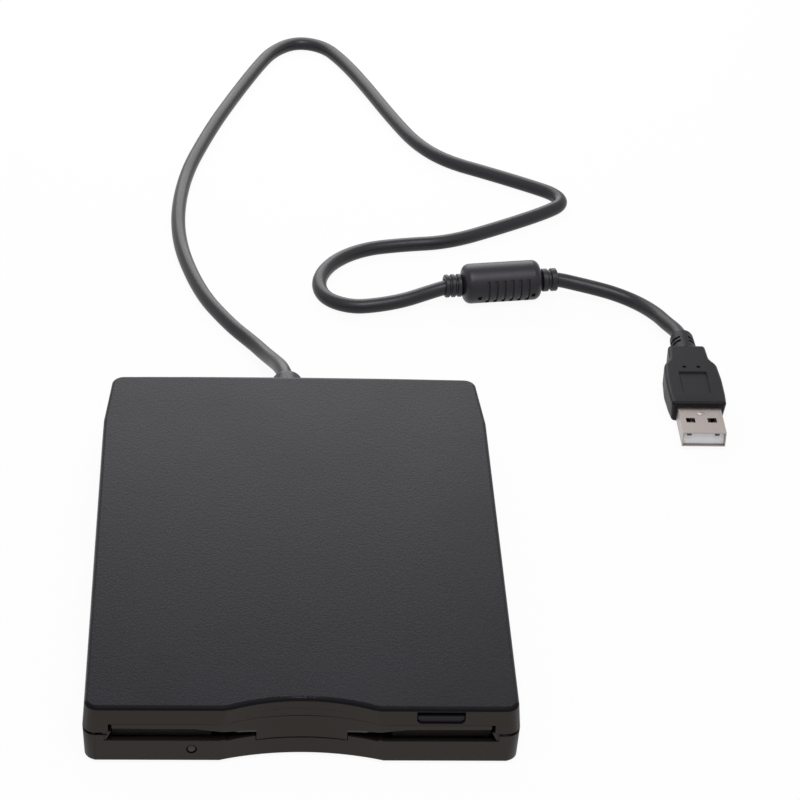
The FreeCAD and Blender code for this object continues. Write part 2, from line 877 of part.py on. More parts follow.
def make_top_cover():
    body = new_body("top_cover")
    shell = pad(body, "shell", "XY", seam, body_top, [case_plan()])
    bind(shell, "TaperAngle", -d.upper_draft)
    round_edges(body, "corners", d.corner_radius, is_corner)
    cut_scoop(body)
    round_edges(body, "scoop_ends", d.corner_radius, is_scoop_end)
    on_top = float(body_top) - float(d.top_rounding) / 2
    round_edges(body, "top_edge", d.top_rounding, lambda edge: edge.BoundBox.ZMin > on_top)
    pocket(body, "hollow", "XY", seam, roof_under, [cavity_plan()])
    posts = [circle(x, y, d.post_radius) for x, y in post_places]
    pad(body, "posts", "XY", seam, roof_under + d.roof_thickness / 2, posts)
    threads = [circle(x, y, d.screw_radius) for x, y in post_places]
    pocket(body, "threads", "XY", seam, case_screw_tip, threads)
    outside = front - d.case_wall
    slot_height = (seam - d.lip_top, d.band_bottom)
    pocket(body, "slot", "XZ", outside, inner_front,
           [rectangle((d.slot_end_step - slot_half, slot_half - d.slot_end_step), slot_height)])
    pocket(body, "scoop_slot", "XZ", outside, bump_back + d.case_wall / 4,
           [rectangle((-bump_half, bump_half), slot_height)])
    chamfer = d.window_chamfer
    pocket(body, "button_window", "XZ", outside, button_back + d.button_gap,
           [outline([
               (window_left + chamfer, d.window_bottom),
               (window_right - chamfer, d.window_bottom),
               (window_right, d.window_bottom + chamfer), (window_right, window_top),
               (window_left, window_top), (window_left, d.window_bottom + chamfer)])])
    hinge_end = flap_pin_end + d.pin_run_gap
    pocket(body, "flap_bearings", "YZ", -hinge_end, hinge_end,
           [circle(flap_axis_y, d.flap_axis_height, d.flap_pin_radius + d.pin_run_gap)])
    boot_bore(body, inner_rear - d.case_wall, rear + d.case_wall)
    return body


def make_bottom_cover():
    body = new_body("bottom_cover")
    pad(body, "shell", "XY", body_bottom, seam, [case_plan()])
    round_edges(body, "corners", d.corner_radius, is_corner)
    cut_scoop(body)
    under = float(body_bottom) + float(d.bottom_rounding) / 2
    round_edges(body, "bottom_edge", d.bottom_rounding, lambda edge: edge.BoundBox.ZMax < under)
    pocket(body, "hollow", "XY", floor_top, seam, [cavity_plan()])
    posts = [circle(x, y, d.post_radius) for x, y in post_places]
    pad(body, "posts", "XY", body_bottom + d.floor_thickness / 2, seam, posts)
    passages = [circle(x, y, d.screw_radius + d.screw_bore_clearance) for x, y in post_places]
    pocket(body, "screw_passages", "XY", body_bottom, seam, passages)
    recess = d.screw_head_radius + d.screw_bore_clearance
    pocket(body, "head_recesses", "XY", body_bottom - d.foot_protrusion, head_seat,
           [circle(x, y, recess) for x, y in post_places])
    bosses = [circle(x, y, d.boss_radius) for x, y in base_screw_places]
    pad(body, "chassis_bosses", "XY", floor_top - d.floor_thickness / 2, base_low, bosses)
    pocket(body, "boss_threads", "XY", base_screw_tip, base_low,
           [circle(x, y, d.screw_radius) for x, y in base_screw_places])
    board_middle = front_board_y + d.front_board_depth / 2
    pad(body, "front_board_bosses", "XY", floor_top - d.floor_thickness / 2, front_board_low,
        [circle(side * switch_inner_x, board_middle, d.boss_radius) for side in SIDES])
    pad(body, "usb_board_bosses", "XY", floor_top - d.floor_thickness / 2, usb_board_low,
        [circle(side * (d.usb_board_left - d.boss_radius), usb_board_middle, d.boss_radius)
         for side in SIDES])
    pocket(body, "foot_seats", "XY", body_bottom - d.foot_protrusion, body_bottom + d.foot_seat,
           [circle(x, y, d.foot_radius + d.foot_clearance) for x, y in foot_places])
    outside = front - d.case_wall
    pocket(body, "lip", "XZ", outside, inner_front, [outline(lip_points(slot_half))])
    pocket(body, "scoop_lip", "XZ", outside, bump_back + d.case_wall / 4,
           [outline(lip_points(bump_half))])
    pocket(body, "light_bore", "XZ", outside, inner_front + d.case_wall,
           [circle(-d.light_offset, d.light_height, lens_bore)])
    boot_bore(body, inner_rear - d.case_wall, rear + d.case_wall)
    return body


def screw(name, x, y, seat, head, length, upward):
    """A pan-head screw.  seat is where the head bears; the shank points up or down."""
    head_radius, head_height = head
    direction = 1 if upward else -1
    shank = rod(f"{name}_shank", (x, y), d.screw_radius, "Z", *flag(seat, seat + direction * length))
    cap = rod(f"{name}_head", (x, y), head_radius, "Z", *flag(seat - direction * head_height, seat))
    return fuse(name, [shank, cap])


def make_case_screws():
    head = (d.screw_head_radius, d.screw_head_height)
    screws = [screw(f"case_screw_{index}", x, y, head_seat, head, d.screw_length, True)
              for index, (x, y) in enumerate(post_places)]
    return group("case_screws", screws)


def make_rubber_feet():
    top = body_bottom + d.foot_seat
    return group("rubber_feet", [rod(f"foot_{index}", place, d.foot_radius, "Z", 0, top)
                                 for index, place in enumerate(foot_places)])


# ---------------------------------------------------------------- flap and button

flap_low = d.lip_top + d.flap_lip_gap
skirt_low = d.lip_top - d.flap_skirt
skirt_start = bump_half + d.flap_skirt_gap
flap_high = d.flap_axis_height + d.flap_thickness / 2
tongue_low = d.notch_lip_top + d.flap_tongue_gap
tongue_half = d.notch_half - d.flap_tongue_gap
lug_start = flap_half - d.flap_spring_inset
spring_notch_end = lug_start - d.flap_spring_length
lug_radius = d.flap_pin_radius + d.flap_thickness / 2
flap_pin_end = half_width - d.post_side_inset - d.screw_radius
button_notch_left = window_left - d.button_setback
button_notch_right = window_right + d.button_setback


def make_slot_flap():
    body = new_body("slot_flap")
    top, edge = flap_high, d.strip_top
    pad(body, "plate", "XZ", flap_face_y, flap_back_y, [outline([
        (-flap_half, skirt_low), (-skirt_start, skirt_low), (-skirt_start, flap_low),
        (-tongue_half, flap_low), (-tongue_half, tongue_low), (tongue_half, tongue_low),
        (tongue_half, flap_low), (skirt_start, flap_low), (skirt_start, skirt_low),
        (flap_half, skirt_low), (flap_half, top), (button_notch_right, top), (button_notch_right, edge),
        (button_notch_left, edge), (button_notch_left, top), (d.flap_notch_half, top),
        (d.flap_notch_half, edge), (-d.flap_notch_half, edge), (-d.flap_notch_half, top),
        (-spring_notch_end, top), (-spring_notch_end, edge), (-lug_start, edge),
        (-lug_start, top), (-flap_half, top)])])
    low = d.strip_bottom
    pad(body, "strip_and_tongue", "XZ", front + d.strip_setback, flap_face_y, [outline([
        (-flap_half, low), (-d.strip_flat_half, low), (-tongue_half, d.tongue_shoulder),
        (-tongue_half, tongue_low), (tongue_half, tongue_low), (tongue_half, d.tongue_shoulder),
        (d.strip_flat_half, low), (flap_half, low), (flap_half, edge), (-flap_half, edge)])])
    pad(body, "rib", "XZ", flap_back_y, flap_back_y + d.flap_rib_depth,
        [rectangle((-d.flap_notch_half, d.flap_notch_half), (d.flap_rib_low, edge))])
    cut_scoop(body, d.scoop_flap_gap)
    for side in SIDES:
        ends = on_side(side, lug_start, flap_half)
        name = "right" if side > 0 else "left"
        pad(body, f"{name}_lug", "YZ", *ends,
            [circle(flap_axis_y, d.flap_axis_height, lug_radius)])
        pocket(body, f"{name}_pin_bore", "YZ", *ends,
               [circle(flap_axis_y, d.flap_axis_height, d.flap_pin_radius)])
    return body


def make_flap_pins():
    axis = (flap_axis_y, d.flap_axis_height)
    right = rod("right_flap_pin", axis, d.flap_pin_radius, "X", lug_start, flap_pin_end)
    left = rod("left_flap_pin", axis, d.flap_pin_radius, "X",
               -flap_pin_end, -spring_notch_end)
    return group("flap_pins", [right, left])


def make_eject_button():
    body = new_body("eject_button")
    gap, chamfer = d.button_gap, d.window_chamfer
    left, right = window_left + gap, window_right - gap
    low, high = d.window_bottom + gap, window_top - gap
    pad(body, "cap", "XZ", button_front, button_back, [outline([
        (left + chamfer, low), (right - chamfer, low), (right, low + chamfer),
        (right, high), (left, high), (left, low + chamfer)])])
    pocket(body, "tab_socket", "XZ", button_back - d.tab_grip, button_back,
           [rectangle(tab_range, (slider_low, slider_top))])
    front_face = float(button_front) + 0.01
    round_edges(body, "front_edge", d.button_gap, lambda edge: edge.BoundBox.YMax < front_face)
    return body


button_middle = window_left + d.window_width / 2
tab_range = (button_middle - d.tab_width / 2, button_middle + d.tab_width / 2)


# ---------------------------------------------------------------- indicator light

def make_light_lens():
    place = (-d.light_offset, d.light_height)
    tip = front
    reach = d.light_radius
    ball_radius = (reach * reach + d.light_dome * d.light_dome) / (2 * d.light_dome)
    ball = doc.addObject("Part::Sphere", "lens_ball")
    bind(ball, "Radius", ball_radius)
    for axis, size in zip("xyz", (place[0], tip + ball_radius, place[1])):
        bind(ball, f"Placement.Base.{axis}", size)
    dome_bar = rod("lens_dome_bar", place, reach, "Y", tip - reach, inner_front)
    dome = doc.addObject("Part::MultiCommon", "lens_dome")
    dome.Shapes = [ball, dome_bar]
    pipe = rod("light_pipe", place, reach, "Y", front + d.light_dome,
               front_board_y - d.light_board_gap)
    return fuse("light_lens", [dome, pipe])


def make_light_body():
    half = d.light_body_width / 2
    return cut("light_body",
               box("light_block", (-d.light_offset - half, -d.light_offset + half),
                   (front_board_y, front_board_y + d.light_body_length),
                   (front_board_top, d.light_height + d.light_radius)),
               [rod("light_die_well", (-d.light_offset, d.light_height), d.light_radius / 2, "Y",
                    front_board_y, front_board_y + d.light_body_length / 4)])


# ---------------------------------------------------------------- chassis and shield

opening_radius = d.rotor_radius + d.rotor_opening_gap
standoffs = [
    (x, y) for x in (d.main_board_left + d.boss_radius, main_board_right - d.boss_radius)
    for y in (main_board_front + d.boss_radius,
              main_board_front + d.main_board_length - d.boss_radius)
]
main_board_low = base_top + d.main_board_lift
main_board_top = main_board_low + d.board_thickness
motor_screw_places = []
for turn in (30, 150, 270):
    angle = math.radians(turn)
    motor_screw_places.append((d.motor_screw_circle * round(math.cos(angle), 6),
                               spindle_y + d.motor_screw_circle * round(math.sin(angle), 6)))
tab_half = d.lead_bearing_radius + d.rail_tab
motor_tab_back = motor_tab_y + d.rail_tab
spring_x = slider_inner - d.slider_arm_width / 2
spring_z = (holder_top + slider_low) / 2 + d.spring_wire
spring_coil = d.slider_height_gap / 2 - d.spring_wire * 2


def make_chassis():
    body = new_body("chassis")
    pad(body, "base", "XY", base_low, base_top,
        [rectangle((-chassis_outer, chassis_outer), (chassis_front, chassis_rear)),
         circle(0, spindle_y, opening_radius)])
    opening_half = front_board_half + d.front_opening_gap
    opening_back = front_board_y + d.front_board_depth + d.front_opening_gap
    pocket(body, "board_opening", "XY", base_low, base_top,
           [rectangle((-opening_half, opening_half), (front, opening_back))])
    pad(body, "walls", "XY", base_low, shield_low,
        [rectangle(on_side(side, chassis_inner, chassis_outer),
                   (chassis_front, chassis_rear)) for side in SIDES])
    bore = d.screw_radius + d.screw_bore_clearance
    pocket(body, "screw_holes", "XY", base_low, base_top,
           [circle(x, y, bore) for x, y in base_screw_places])
    pocket(body, "motor_screw_holes", "XY", base_low, base_top,
           [circle(x, y, d.screw_radius) for x, y in motor_screw_places])
    pad(body, "standoffs", "XY", base_low, main_board_low,
        [circle(x, y, d.lead_bearing_radius) for x, y in standoffs])
    screw_tab = (-d.screw_x - tab_half, -d.screw_x + tab_half)
    pad(body, "screw_tab", "XZ", rail_tab_y, rail_tab_y + d.rail_tab,
        [rectangle(screw_tab, (base_low, d.screw_z + tab_half)),
         circle(-d.screw_x, d.screw_z, d.lead_bearing_radius)])
    rod_tab = (d.rod_x - tab_half, d.rod_x + tab_half)
    pad(body, "rod_tab", "XZ", rail_tab_y, rail_tab_y + d.rail_tab,
        [rectangle(rod_tab, (base_low, d.rod_z + d.rod_radius + d.rail_tab)),
         circle(d.rod_x, d.rod_z, d.rod_radius)])
    tab_top = d.screw_z + d.stepper_radius
    pad(body, "motor_tab", "XZ", motor_tab_y, motor_tab_back,
        [rectangle((-d.screw_x - d.stepper_flange_half, d.rod_x + tab_half), (base_low, tab_top)),
         circle(-d.screw_x, d.screw_z, d.lead_screw_radius + d.lead_screw_room),
         circle(d.rod_x, d.rod_z, d.rod_radius)])
    for side in SIDES:
        name = "right" if side > 0 else "left"
        pad(body, f"{name}_spring_tab", "XZ", spring_tab_y, spring_tab_y + d.rail_tab,
            [rectangle(on_side(side, spring_x - spring_coil * 2, chassis_inner),
                       (spring_z - spring_coil * 2, shield_low))])
    slot_radius = d.pin_radius + d.pin_slot_gap
    for name, y in (("front", pin_front_y), ("rear", pin_rear_y)):
        pocket(body, f"{name}_pin_slots", "YZ", -chassis_outer, chassis_outer,
               [slot((y, pin_z - d.holder_drop), (y, pin_z), slot_radius)])
    return body


def make_chassis_screws():
    head = (d.screw_head_radius, d.base_screw_head)
    length = base_top - base_screw_tip
    screws = [screw(f"chassis_screw_{index}", x, y, base_top, head, length, False)
              for index, (x, y) in enumerate(base_screw_places)]
    return group("chassis_screws", screws)


def make_top_shield():
    body = new_body("top_shield")
    half = chassis_outer + d.shield_overhang
    depth = (front + d.shield_front_setback, chassis_rear)
    pad(body, "sheet", "XY", shield_low, shield_low + d.shield_sheet,
        [rectangle((-half, half), depth)])
    pad(body, "skirts", "XY", shield_low - d.shield_skirt, shield_low,
        [rectangle(on_side(side, half - d.shield_sheet, half), depth) for side in SIDES])
    return body


# ---------------------------------------------------------------- slider and holder

slider_front = front + d.slider_front_setback
cross_rear = slider_front + d.slider_cross_length
arm_inner = slider_outer - d.slider_arm_width
spring_tab_y = slider_rear + d.slider_travel * 3.5


def make_slider_plate():
    body = new_body("slider_plate")
    outer, low, high = slider_outer, slider_low, slider_top
    pad(body, "sheet", "XY", low, high, [outline([
        (-outer, slider_front), (outer, slider_front), (outer, slider_rear),
        (arm_inner, slider_rear), (arm_inner, cross_rear), (-arm_inner, cross_rear),
        (-arm_inner, slider_rear), (-outer, slider_rear)])])
    pad(body, "button_tab", "XY", low, high,
        [rectangle(tab_range, (button_back - d.tab_grip, slider_front + d.slider_sheet))])
    pad(body, "walls", "XY", d.slider_wall_low, high,
        [rectangle(on_side(side, slider_inner, outer), (slider_front, slider_rear))
         for side in SIDES])
    seat_low = holder_top + d.lever_gap
    pad(body, "spring_seats", "XZ", slider_rear - d.slider_sheet, slider_rear,
        [rectangle(on_side(side, spring_x - spring_coil, spring_x + spring_coil),
                   (seat_low, high)) for side in SIDES])
    slot_radius = d.pin_radius + d.pin_slot_gap
    for name, y in (("front", pin_front_y), ("rear", pin_rear_y)):
        pocket(body, f"{name}_ramps", "YZ", -outer, outer,
               [slot((y, pin_z), (y + d.slider_travel, pin_z - d.holder_drop), slot_radius)])
    return body


lever_tip = (-lever_pivot_x + d.lever_reach * cosine(d.lever_angle),
             lever_pivot_y + d.lever_reach * sine(d.lever_angle))
swept_angle = d.lever_angle + d.lever_sweep
swept_tip = (-lever_pivot_x + d.lever_reach * cosine(swept_angle),
             lever_pivot_y + d.lever_reach * sine(swept_angle))
lever_low = holder_top + d.lever_gap
lever_top = lever_low + d.lever_thickness
lever_tail_end = (-lever_pivot_x - d.lever_tail * cosine(d.lever_angle),
                  lever_pivot_y - d.lever_tail * sine(d.lever_angle))
lever_hook_y = lever_tail_end[1] - d.lever_reach / 2


def make_disk_holder():
    body = new_body("disk_holder")
    depth = (holder_front, holder_rear)
    pad(body, "top", "XY", cavity_top, holder_top,
        [rectangle((-holder_outer, holder_outer), depth)])
    pad(body, "walls", "XY", cavity_low - d.holder_sheet, cavity_top,
        [rectangle(on_side(side, holder_inner, holder_outer), depth) for side in SIDES])
    pad(body, "lips", "XY", cavity_low - d.holder_sheet, cavity_low,
        [rectangle(on_side(side, holder_inner - d.holder_lip_width, holder_inner), depth)
         for side in SIDES])
    pocket(body, "head_gap", "XY", cavity_top, holder_top,
           [rectangle((-d.head_gap_half, d.head_gap_half),
                      (spindle_y + d.head_gap_start, holder_rear + d.holder_sheet))])
    half_sweep = d.lever_sweep / 2
    sagitta = d.lever_reach * (1 - cosine(half_sweep))
    middle_angle = d.lever_angle + half_sweep
    shift = (sagitta / 2 * cosine(middle_angle), sagitta / 2 * sine(middle_angle))
    ends = [tuple(place + move for place, move in zip(tip, shift))
            for tip in (lever_tip, swept_tip)]
    pocket(body, "lever_slot", "XY", cavity_top, holder_top,
           [slot(*ends, d.lever_pin_radius + sagitta / 2 + d.lever_slot_gap)])
    pocket(body, "rivet_hole", "XY", cavity_top, holder_top,
           [circle(-lever_pivot_x, lever_pivot_y, d.lever_rivet_radius)])
    hook = d.lever_thickness
    pad(body, "spring_hook", "XY", cavity_top, lever_top + hook,
        [rectangle((lever_tail_end[0] - hook, lever_tail_end[0] + hook),
                   (lever_hook_y - hook, lever_hook_y))])
    pocket(body, "pin_holes", "YZ", -holder_outer, holder_outer,
           [circle(y, pin_z, d.pin_radius) for y in (pin_front_y, pin_rear_y)])
    return body


def make_holder_pins():
    pins = []
    for side in SIDES:
        for y in (pin_front_y, pin_rear_y):
            name = f"holder_pin_{len(pins)}"
            start = holder_inner + d.pin_slot_gap
            pins.append(rod(name, (y, pin_z), d.pin_radius, "X", *on_side(side, start, pin_end)))
    return group("holder_pins", pins)


def make_shutter_lever():
    body = new_body("shutter_lever")
    pivot = (-lever_pivot_x, lever_pivot_y)
    half = d.lever_width / 2
    pad(body, "blade", "XY", lever_low, lever_top, [slot(pivot, lever_tip, half)])
    pad(body, "tail", "XY", lever_low, lever_top, [slot(lever_tail_end, pivot, half / 2)])
    pad(body, "tip_pin", "XY", lever_low - d.lever_pin_depth, lever_low,
        [circle(*lever_tip, d.lever_pin_radius)])
    pocket(body, "pivot_hole", "XY", lever_low, lever_top,
           [circle(*pivot, d.lever_rivet_radius + d.pin_run_gap)])
    return body


def make_lever_rivet():
    place = (-lever_pivot_x, lever_pivot_y)
    cap_low = lever_top + d.pin_run_gap
    shank = rod("rivet_shank", place, d.lever_rivet_radius, "Z", cavity_top, cap_low)
    cap = rod("rivet_cap", place, d.lever_rivet_head, "Z", cap_low, cap_low + d.lever_rivet_cap)
    return fuse("lever_rivet", [shank, cap])


# ---------------------------------------------------------------- spindle motor

motor_plate_low = base_low - d.motor_plate_thickness
rotor_low = base_low + d.rotor_floor_gap
cup_low = rotor_top - d.rotor_sheet
magnet_inner = d.rotor_radius - d.rotor_sheet - d.magnet_thickness
tooth_tip_radius = magnet_inner - d.air_gap
stator_middle = (base_low + cup_low) / 2
hub_top = rotor_top + d.hub_height
shaft_top = hub_top + d.shaft_rise
TOOTH_COUNT = 9


def make_motor_plate():
    body = new_body("motor_plate", 0, spindle_y, 0)
    half = d.motor_plate_half
    pad(body, "plate", "XY", motor_plate_low, base_low,
        [rectangle((-half, half), (-half, half)), circle(0, 0, d.bearing_radius)])
    pocket(body, "screw_holes", "XY", motor_plate_low, base_low,
           [circle(x, y - spindle_y, d.screw_radius) for x, y in motor_screw_places])
    return body


def make_motor_screws():
    head = (d.screw_head_radius, d.base_screw_head)
    length = base_top - motor_plate_low
    screws = [screw(f"motor_screw_{index}", x, y, base_top, head, length, False)
              for index, (x, y) in enumerate(motor_screw_places)]
    return group("motor_screws", screws)


def make_shaft_bushes():
    spindle_bush = ring("spindle_bush", (0, spindle_y), d.shaft_radius + d.shaft_gap,
                        d.bearing_radius, "Z", motor_plate_low, cup_low - d.shaft_gap)
    screw_bush = ring("lead_screw_bush", (-d.screw_x, d.screw_z),
                      d.lead_screw_radius + d.rod_gap, d.lead_bearing_radius, "Y",
                      rail_tab_y, rail_tab_y + d.rail_tab)
    return group("shaft_bushes", [spindle_bush, screw_bush])


def around_spindle(body, name, features, count):
    """Repeat features evenly about the body's Z axis."""
    pattern = body.newObject("PartDesign::PolarPattern", name)
    pattern.Originals = features
    pattern.Axis = (features[0].Profile[0], ["N_Axis"])
    pattern.Angle = 360
    pattern.Occurrences = count
    body.Tip = pattern
    return pattern


def make_stator_core():
    body = new_body("stator_core", 0, spindle_y, 0)
    low, high = stator_middle - d.stator_core / 2, stator_middle + d.stator_core / 2
    pad(body, "yoke", "XY", low, high,
        [circle(0, 0, d.stator_hub_radius), circle(0, 0, d.bearing_radius)])
    half = d.tooth_width / 2
    root = d.stator_hub_radius - half
    tooth = pad(body, "tooth", "XY", low, high,
                [rectangle((root, tooth_tip_radius - d.tooth_tip_length), (-half, half))])
    tip_half = d.tooth_tip_width / 2
    tip = pad(body, "tooth_tip", "XY", low, high, [rectangle(
        (tooth_tip_radius - d.tooth_tip_length, tooth_tip_radius - d.tooth_tip_length / 4),
        (-tip_half, tip_half))])
    around_spindle(body, "teeth", [tooth, tip], TOOTH_COUNT)
    return body


def make_stator_coils():
    body = new_body("stator_coils", 0, spindle_y, 0)
    body.AllowCompound = True
    start = tooth_tip_radius - d.tooth_tip_length * 1.5 - d.coil_length
    reach = (start, start + d.coil_length)
    outer = d.tooth_width / 2 + d.coil_thickness * 2
    low = stator_middle - d.stator_core / 2 - d.coil_thickness
    high = stator_middle + d.stator_core / 2 + d.coil_thickness
    winding = pad(body, "winding", "XY", low, high, [rectangle(reach, (-outer, outer))])
    core_low, core_high = low + d.coil_thickness, high - d.coil_thickness
    half = d.tooth_width / 2
    bore = pocket(body, "core_bore", "XY", core_low, core_high,
                  [rectangle(reach, (-half, half))])
    around_spindle(body, "windings", [winding, bore], TOOTH_COUNT)
    return body


def make_rotor_magnet():
    inner, outer = magnet_inner, d.rotor_radius - d.rotor_sheet
    return ring("rotor_magnet", (0, spindle_y), inner, outer, "Z", cup_low - d.magnet_height, cup_low)


def make_rotor_cup():
    body = new_body("rotor_cup", 0, spindle_y, 0)
    outer, inner, shaft = d.rotor_radius, d.rotor_radius - d.rotor_sheet, d.shaft_radius
    revolve(body, "cup", [outline([
        (shaft, cup_low), (inner, cup_low), (inner, rotor_low), (outer, rotor_low),
        (outer, rotor_top), (shaft, rotor_top)])])
    return body


def make_spindle_hub():
    body = new_body("spindle_hub", 0, spindle_y, 0)
    pad(body, "disc", "XY", rotor_top, hub_top,
        [circle(0, 0, d.hub_radius), circle(0, 0, d.shaft_radius),
         circle(d.drive_pin_circle, 0, d.drive_pin_radius)])
    return body


def make_spindle_shaft():
    return rod("spindle_shaft", (0, spindle_y), d.shaft_radius, "Z", motor_plate_low, shaft_top)


def make_drive_pin():
    return rod("drive_pin", (d.drive_pin_circle, spindle_y), d.drive_pin_radius, "Z",
               rotor_top, hub_top + d.drive_pin_rise)


# ---------------------------------------------------------------- heads and carriage

carriage_low = base_top + d.carriage_lift
carriage_top = carriage_low + d.carriage_low_thickness
ear_start = d.carriage_half + d.arm_ear_gap
ear_end = ear_start + d.ear_thickness
arm_reach = arm_hinge_y - head_y
arm_pin_start = d.lead_screw_radius + d.lead_screw_room + d.head_media_gap - d.screw_x
flag_low = carriage_top + d.flag_rise


def make_head_carriage():
    nose = head_y - d.carriage_nose
    tongue = box("carriage_tongue", (-d.carriage_half, d.carriage_half),
                 (nose, block_rear_y), (carriage_low, carriage_top))
    depth = (block_front_y, block_rear_y)
    shelf = box("carriage_shelf", (-d.block_left, d.block_right), depth,
                (carriage_low, d.block_shelf))
    tower = box("carriage_tower", (-d.block_left, -ear_start), depth,
                (carriage_low, d.tower_top))
    ear = box("carriage_ear", (ear_start, ear_end), depth, (carriage_low, d.ear_top))
    rod_block = box("carriage_rod_block", (ear_start, d.block_right), depth,
                    (carriage_low, d.rod_block_top))
    sensor_flag = box("carriage_flag", (-d.block_left - d.flag_reach, -d.block_left),
                      (block_rear_y - d.flag_length, block_rear_y),
                      (flag_low, flag_low + d.flag_thickness))
    solid = fuse("carriage_solid", [tongue, shelf, tower, ear, rod_block, sensor_flag])
    screw_room = rod("screw_room", (-d.screw_x, d.screw_z),
                     d.lead_screw_radius + d.lead_screw_room, "Y", *depth)
    rod_room = rod("rod_room", (d.rod_x, d.rod_z), d.rod_radius + d.rod_gap, "Y", *depth)
    hinge_bore = rod("hinge_bore", (arm_hinge_y, d.arm_hinge_z), d.arm_pin_radius, "X",
                     arm_pin_start, ear_end)
    bored = cut("carriage_bored", solid, [screw_room, rod_room, hinge_bore])
    screw_side = d.lead_screw_radius - d.screw_x
    follower = rod("screw_follower", (arm_hinge_y, d.screw_z), d.follower_radius, "X",
                   screw_side + d.pin_run_gap, screw_side + d.lead_screw_room + d.pin_run_gap)
    return fuse("head_carriage", [bored, follower])


def make_lower_head():
    half = d.head_half
    return box("lower_head", (-half, half), (head_y - half, head_y + half),
               (carriage_top, head_contact_z - d.head_media_gap))


def arm_body(label):
    """A body whose own origin is on the arm's hinge and which is lifted with the arm."""
    body = new_body(label, 0, arm_hinge_y, d.arm_hinge_z)
    placement = FreeCAD.Placement(body.Placement.Base,
                                  FreeCAD.Rotation(Vector(-1, 0, 0), float(d.arm_lift)))
    body.Placement = placement
    body.setExpression("Placement.Rotation.Angle", f"{d.arm_lift.text} * 1deg")
    return body


def make_upper_head_arm():
    body = arm_body("upper_head_arm")
    low, high = -d.arm_thickness, 0
    nose = -arm_reach - d.head_half - d.head_media_gap
    rear_half, front_half = d.arm_half_rear, d.arm_half_front
    bend = -arm_reach / 2
    pad(body, "blade", "XY", low, high, [outline([
        (-front_half, nose), (front_half, nose), (front_half, bend), (rear_half, 0),
        (-rear_half, 0), (-front_half, bend)])])
    spring_start = rear_half - d.arm_spring_room
    pad(body, "barrel", "YZ", -rear_half, spring_start, [circle(0, 0, d.arm_barrel_radius)])
    pocket(body, "spring_gap", "XY", low - d.arm_thickness, high + d.arm_thickness,
           [rectangle((spring_start, rear_half + d.arm_ear_gap),
                      (-d.arm_barrel_radius * 1.5, d.arm_barrel_radius))])
    pocket(body, "hinge_bore", "YZ", -rear_half, rear_half,
           [circle(0, 0, d.arm_pin_radius + d.pin_run_gap)])
    return body


def make_upper_head():
    body = arm_body("upper_head")
    half = d.head_half
    face = head_contact_z + d.head_media_gap - d.arm_hinge_z
    pad(body, "block", "XY", face, -d.arm_thickness,
        [rectangle((-half, half), (-arm_reach - half, -arm_reach + half))])
    return body


def make_arm_hinge_pin():
    return rod("arm_hinge_pin", (arm_hinge_y, d.arm_hinge_z), d.arm_pin_radius, "X",
               arm_pin_start, ear_end)


def make_guide_rod():
    return rod("guide_rod", (d.rod_x, d.rod_z), d.rod_radius, "Y", rail_tab_y, motor_tab_back)


def make_stepper_motor():
    flange_half = d.stepper_flange_half
    flange = box("stepper_plate", (-d.screw_x - flange_half, -d.screw_x + flange_half),
                 (motor_tab_back, motor_tab_back + d.stepper_flange),
                 (d.screw_z - d.stepper_radius, d.screw_z + d.stepper_radius))
    can = rod("stepper_can", (-d.screw_x, d.screw_z), d.stepper_radius, "Y",
              motor_tab_back, motor_tab_back + d.stepper_flange + d.stepper_length)
    bore = rod("stepper_bore", (-d.screw_x, d.screw_z), d.lead_screw_radius + d.rod_gap, "Y",
               motor_tab_back, stepper_bore_end)
    return cut("stepper_motor", fuse("stepper_solid", [flange, can]), [bore])


stepper_bore_end = motor_tab_back + d.stepper_flange + d.stepper_length / 2


def make_lead_screw():
    return rod("lead_screw", (-d.screw_x, d.screw_z), d.lead_screw_radius, "Y",
               rail_tab_y, stepper_bore_end - d.rod_gap)


def make_position_sensors():
    half = d.index_sensor_size / 2
    left = opening_radius + half
    index_sensor = box("index_sensor", (-left - d.index_sensor_size, -left),
                       (spindle_y - half, spindle_y + half),
                       (base_top, base_top + d.index_sensor_height))
    right = -d.block_left - d.motor_tab_gap
    depth = (block_front_y, block_rear_y)
    block = box("sensor_block", (right - d.track_sensor_width, right), depth,
                (base_top, base_top + d.track_sensor_height))
    slot_left = -d.block_left - d.flag_reach - d.flag_gap
    light_slot = box("sensor_slot", (slot_left, right), depth,
                     (flag_low - d.flag_gap, flag_low + d.flag_thickness + d.flag_gap))
    track_zero_sensor = cut("track_zero_sensor", block, [light_slot])
    return group("position_sensors", [index_sensor, track_zero_sensor])


# ---------------------------------------------------------------- circuit boards

front_board_back = front_board_y + d.front_board_depth
switch_front = front + d.switch_setback
switch_middle_y = switch_front + d.switch_width / 2
switch_top = front_board_top + d.switch_height
plunger_top = switch_top + d.plunger_rise
main_board_back = main_board_front + d.main_board_length
usb_board_low = floor_top + d.usb_board_lift
usb_board_top = usb_board_low + d.board_thickness
usb_board_back = inner_rear - d.usb_board_gap
usb_board_front = usb_board_back - d.usb_board_depth
usb_board_middle = (usb_board_back + usb_board_front) / 2
SWITCHES = {
    "write_protect": -switch_outer_x,
    "density": switch_outer_x,
    "disk_in": switch_inner_x,
}


def plunger_well(name, low, high):
    """The round hole that a switch's plunger runs in."""
    return rod(name, (0, switch_middle_y), d.plunger_radius + d.plunger_gap, "Z", low, high)


def make_front_board():
    board = box("front_board_blank", (-front_board_half, front_board_half),
                (front_board_y, front_board_back), (front_board_low, front_board_top))
    wells = []
    for name, x in SWITCHES.items():
        well = plunger_well(f"{name}_board_well", front_board_low, front_board_top)
        bind(well, "Placement.Base.x", x)
        wells.append(well)
    return cut("front_board", board, wells)


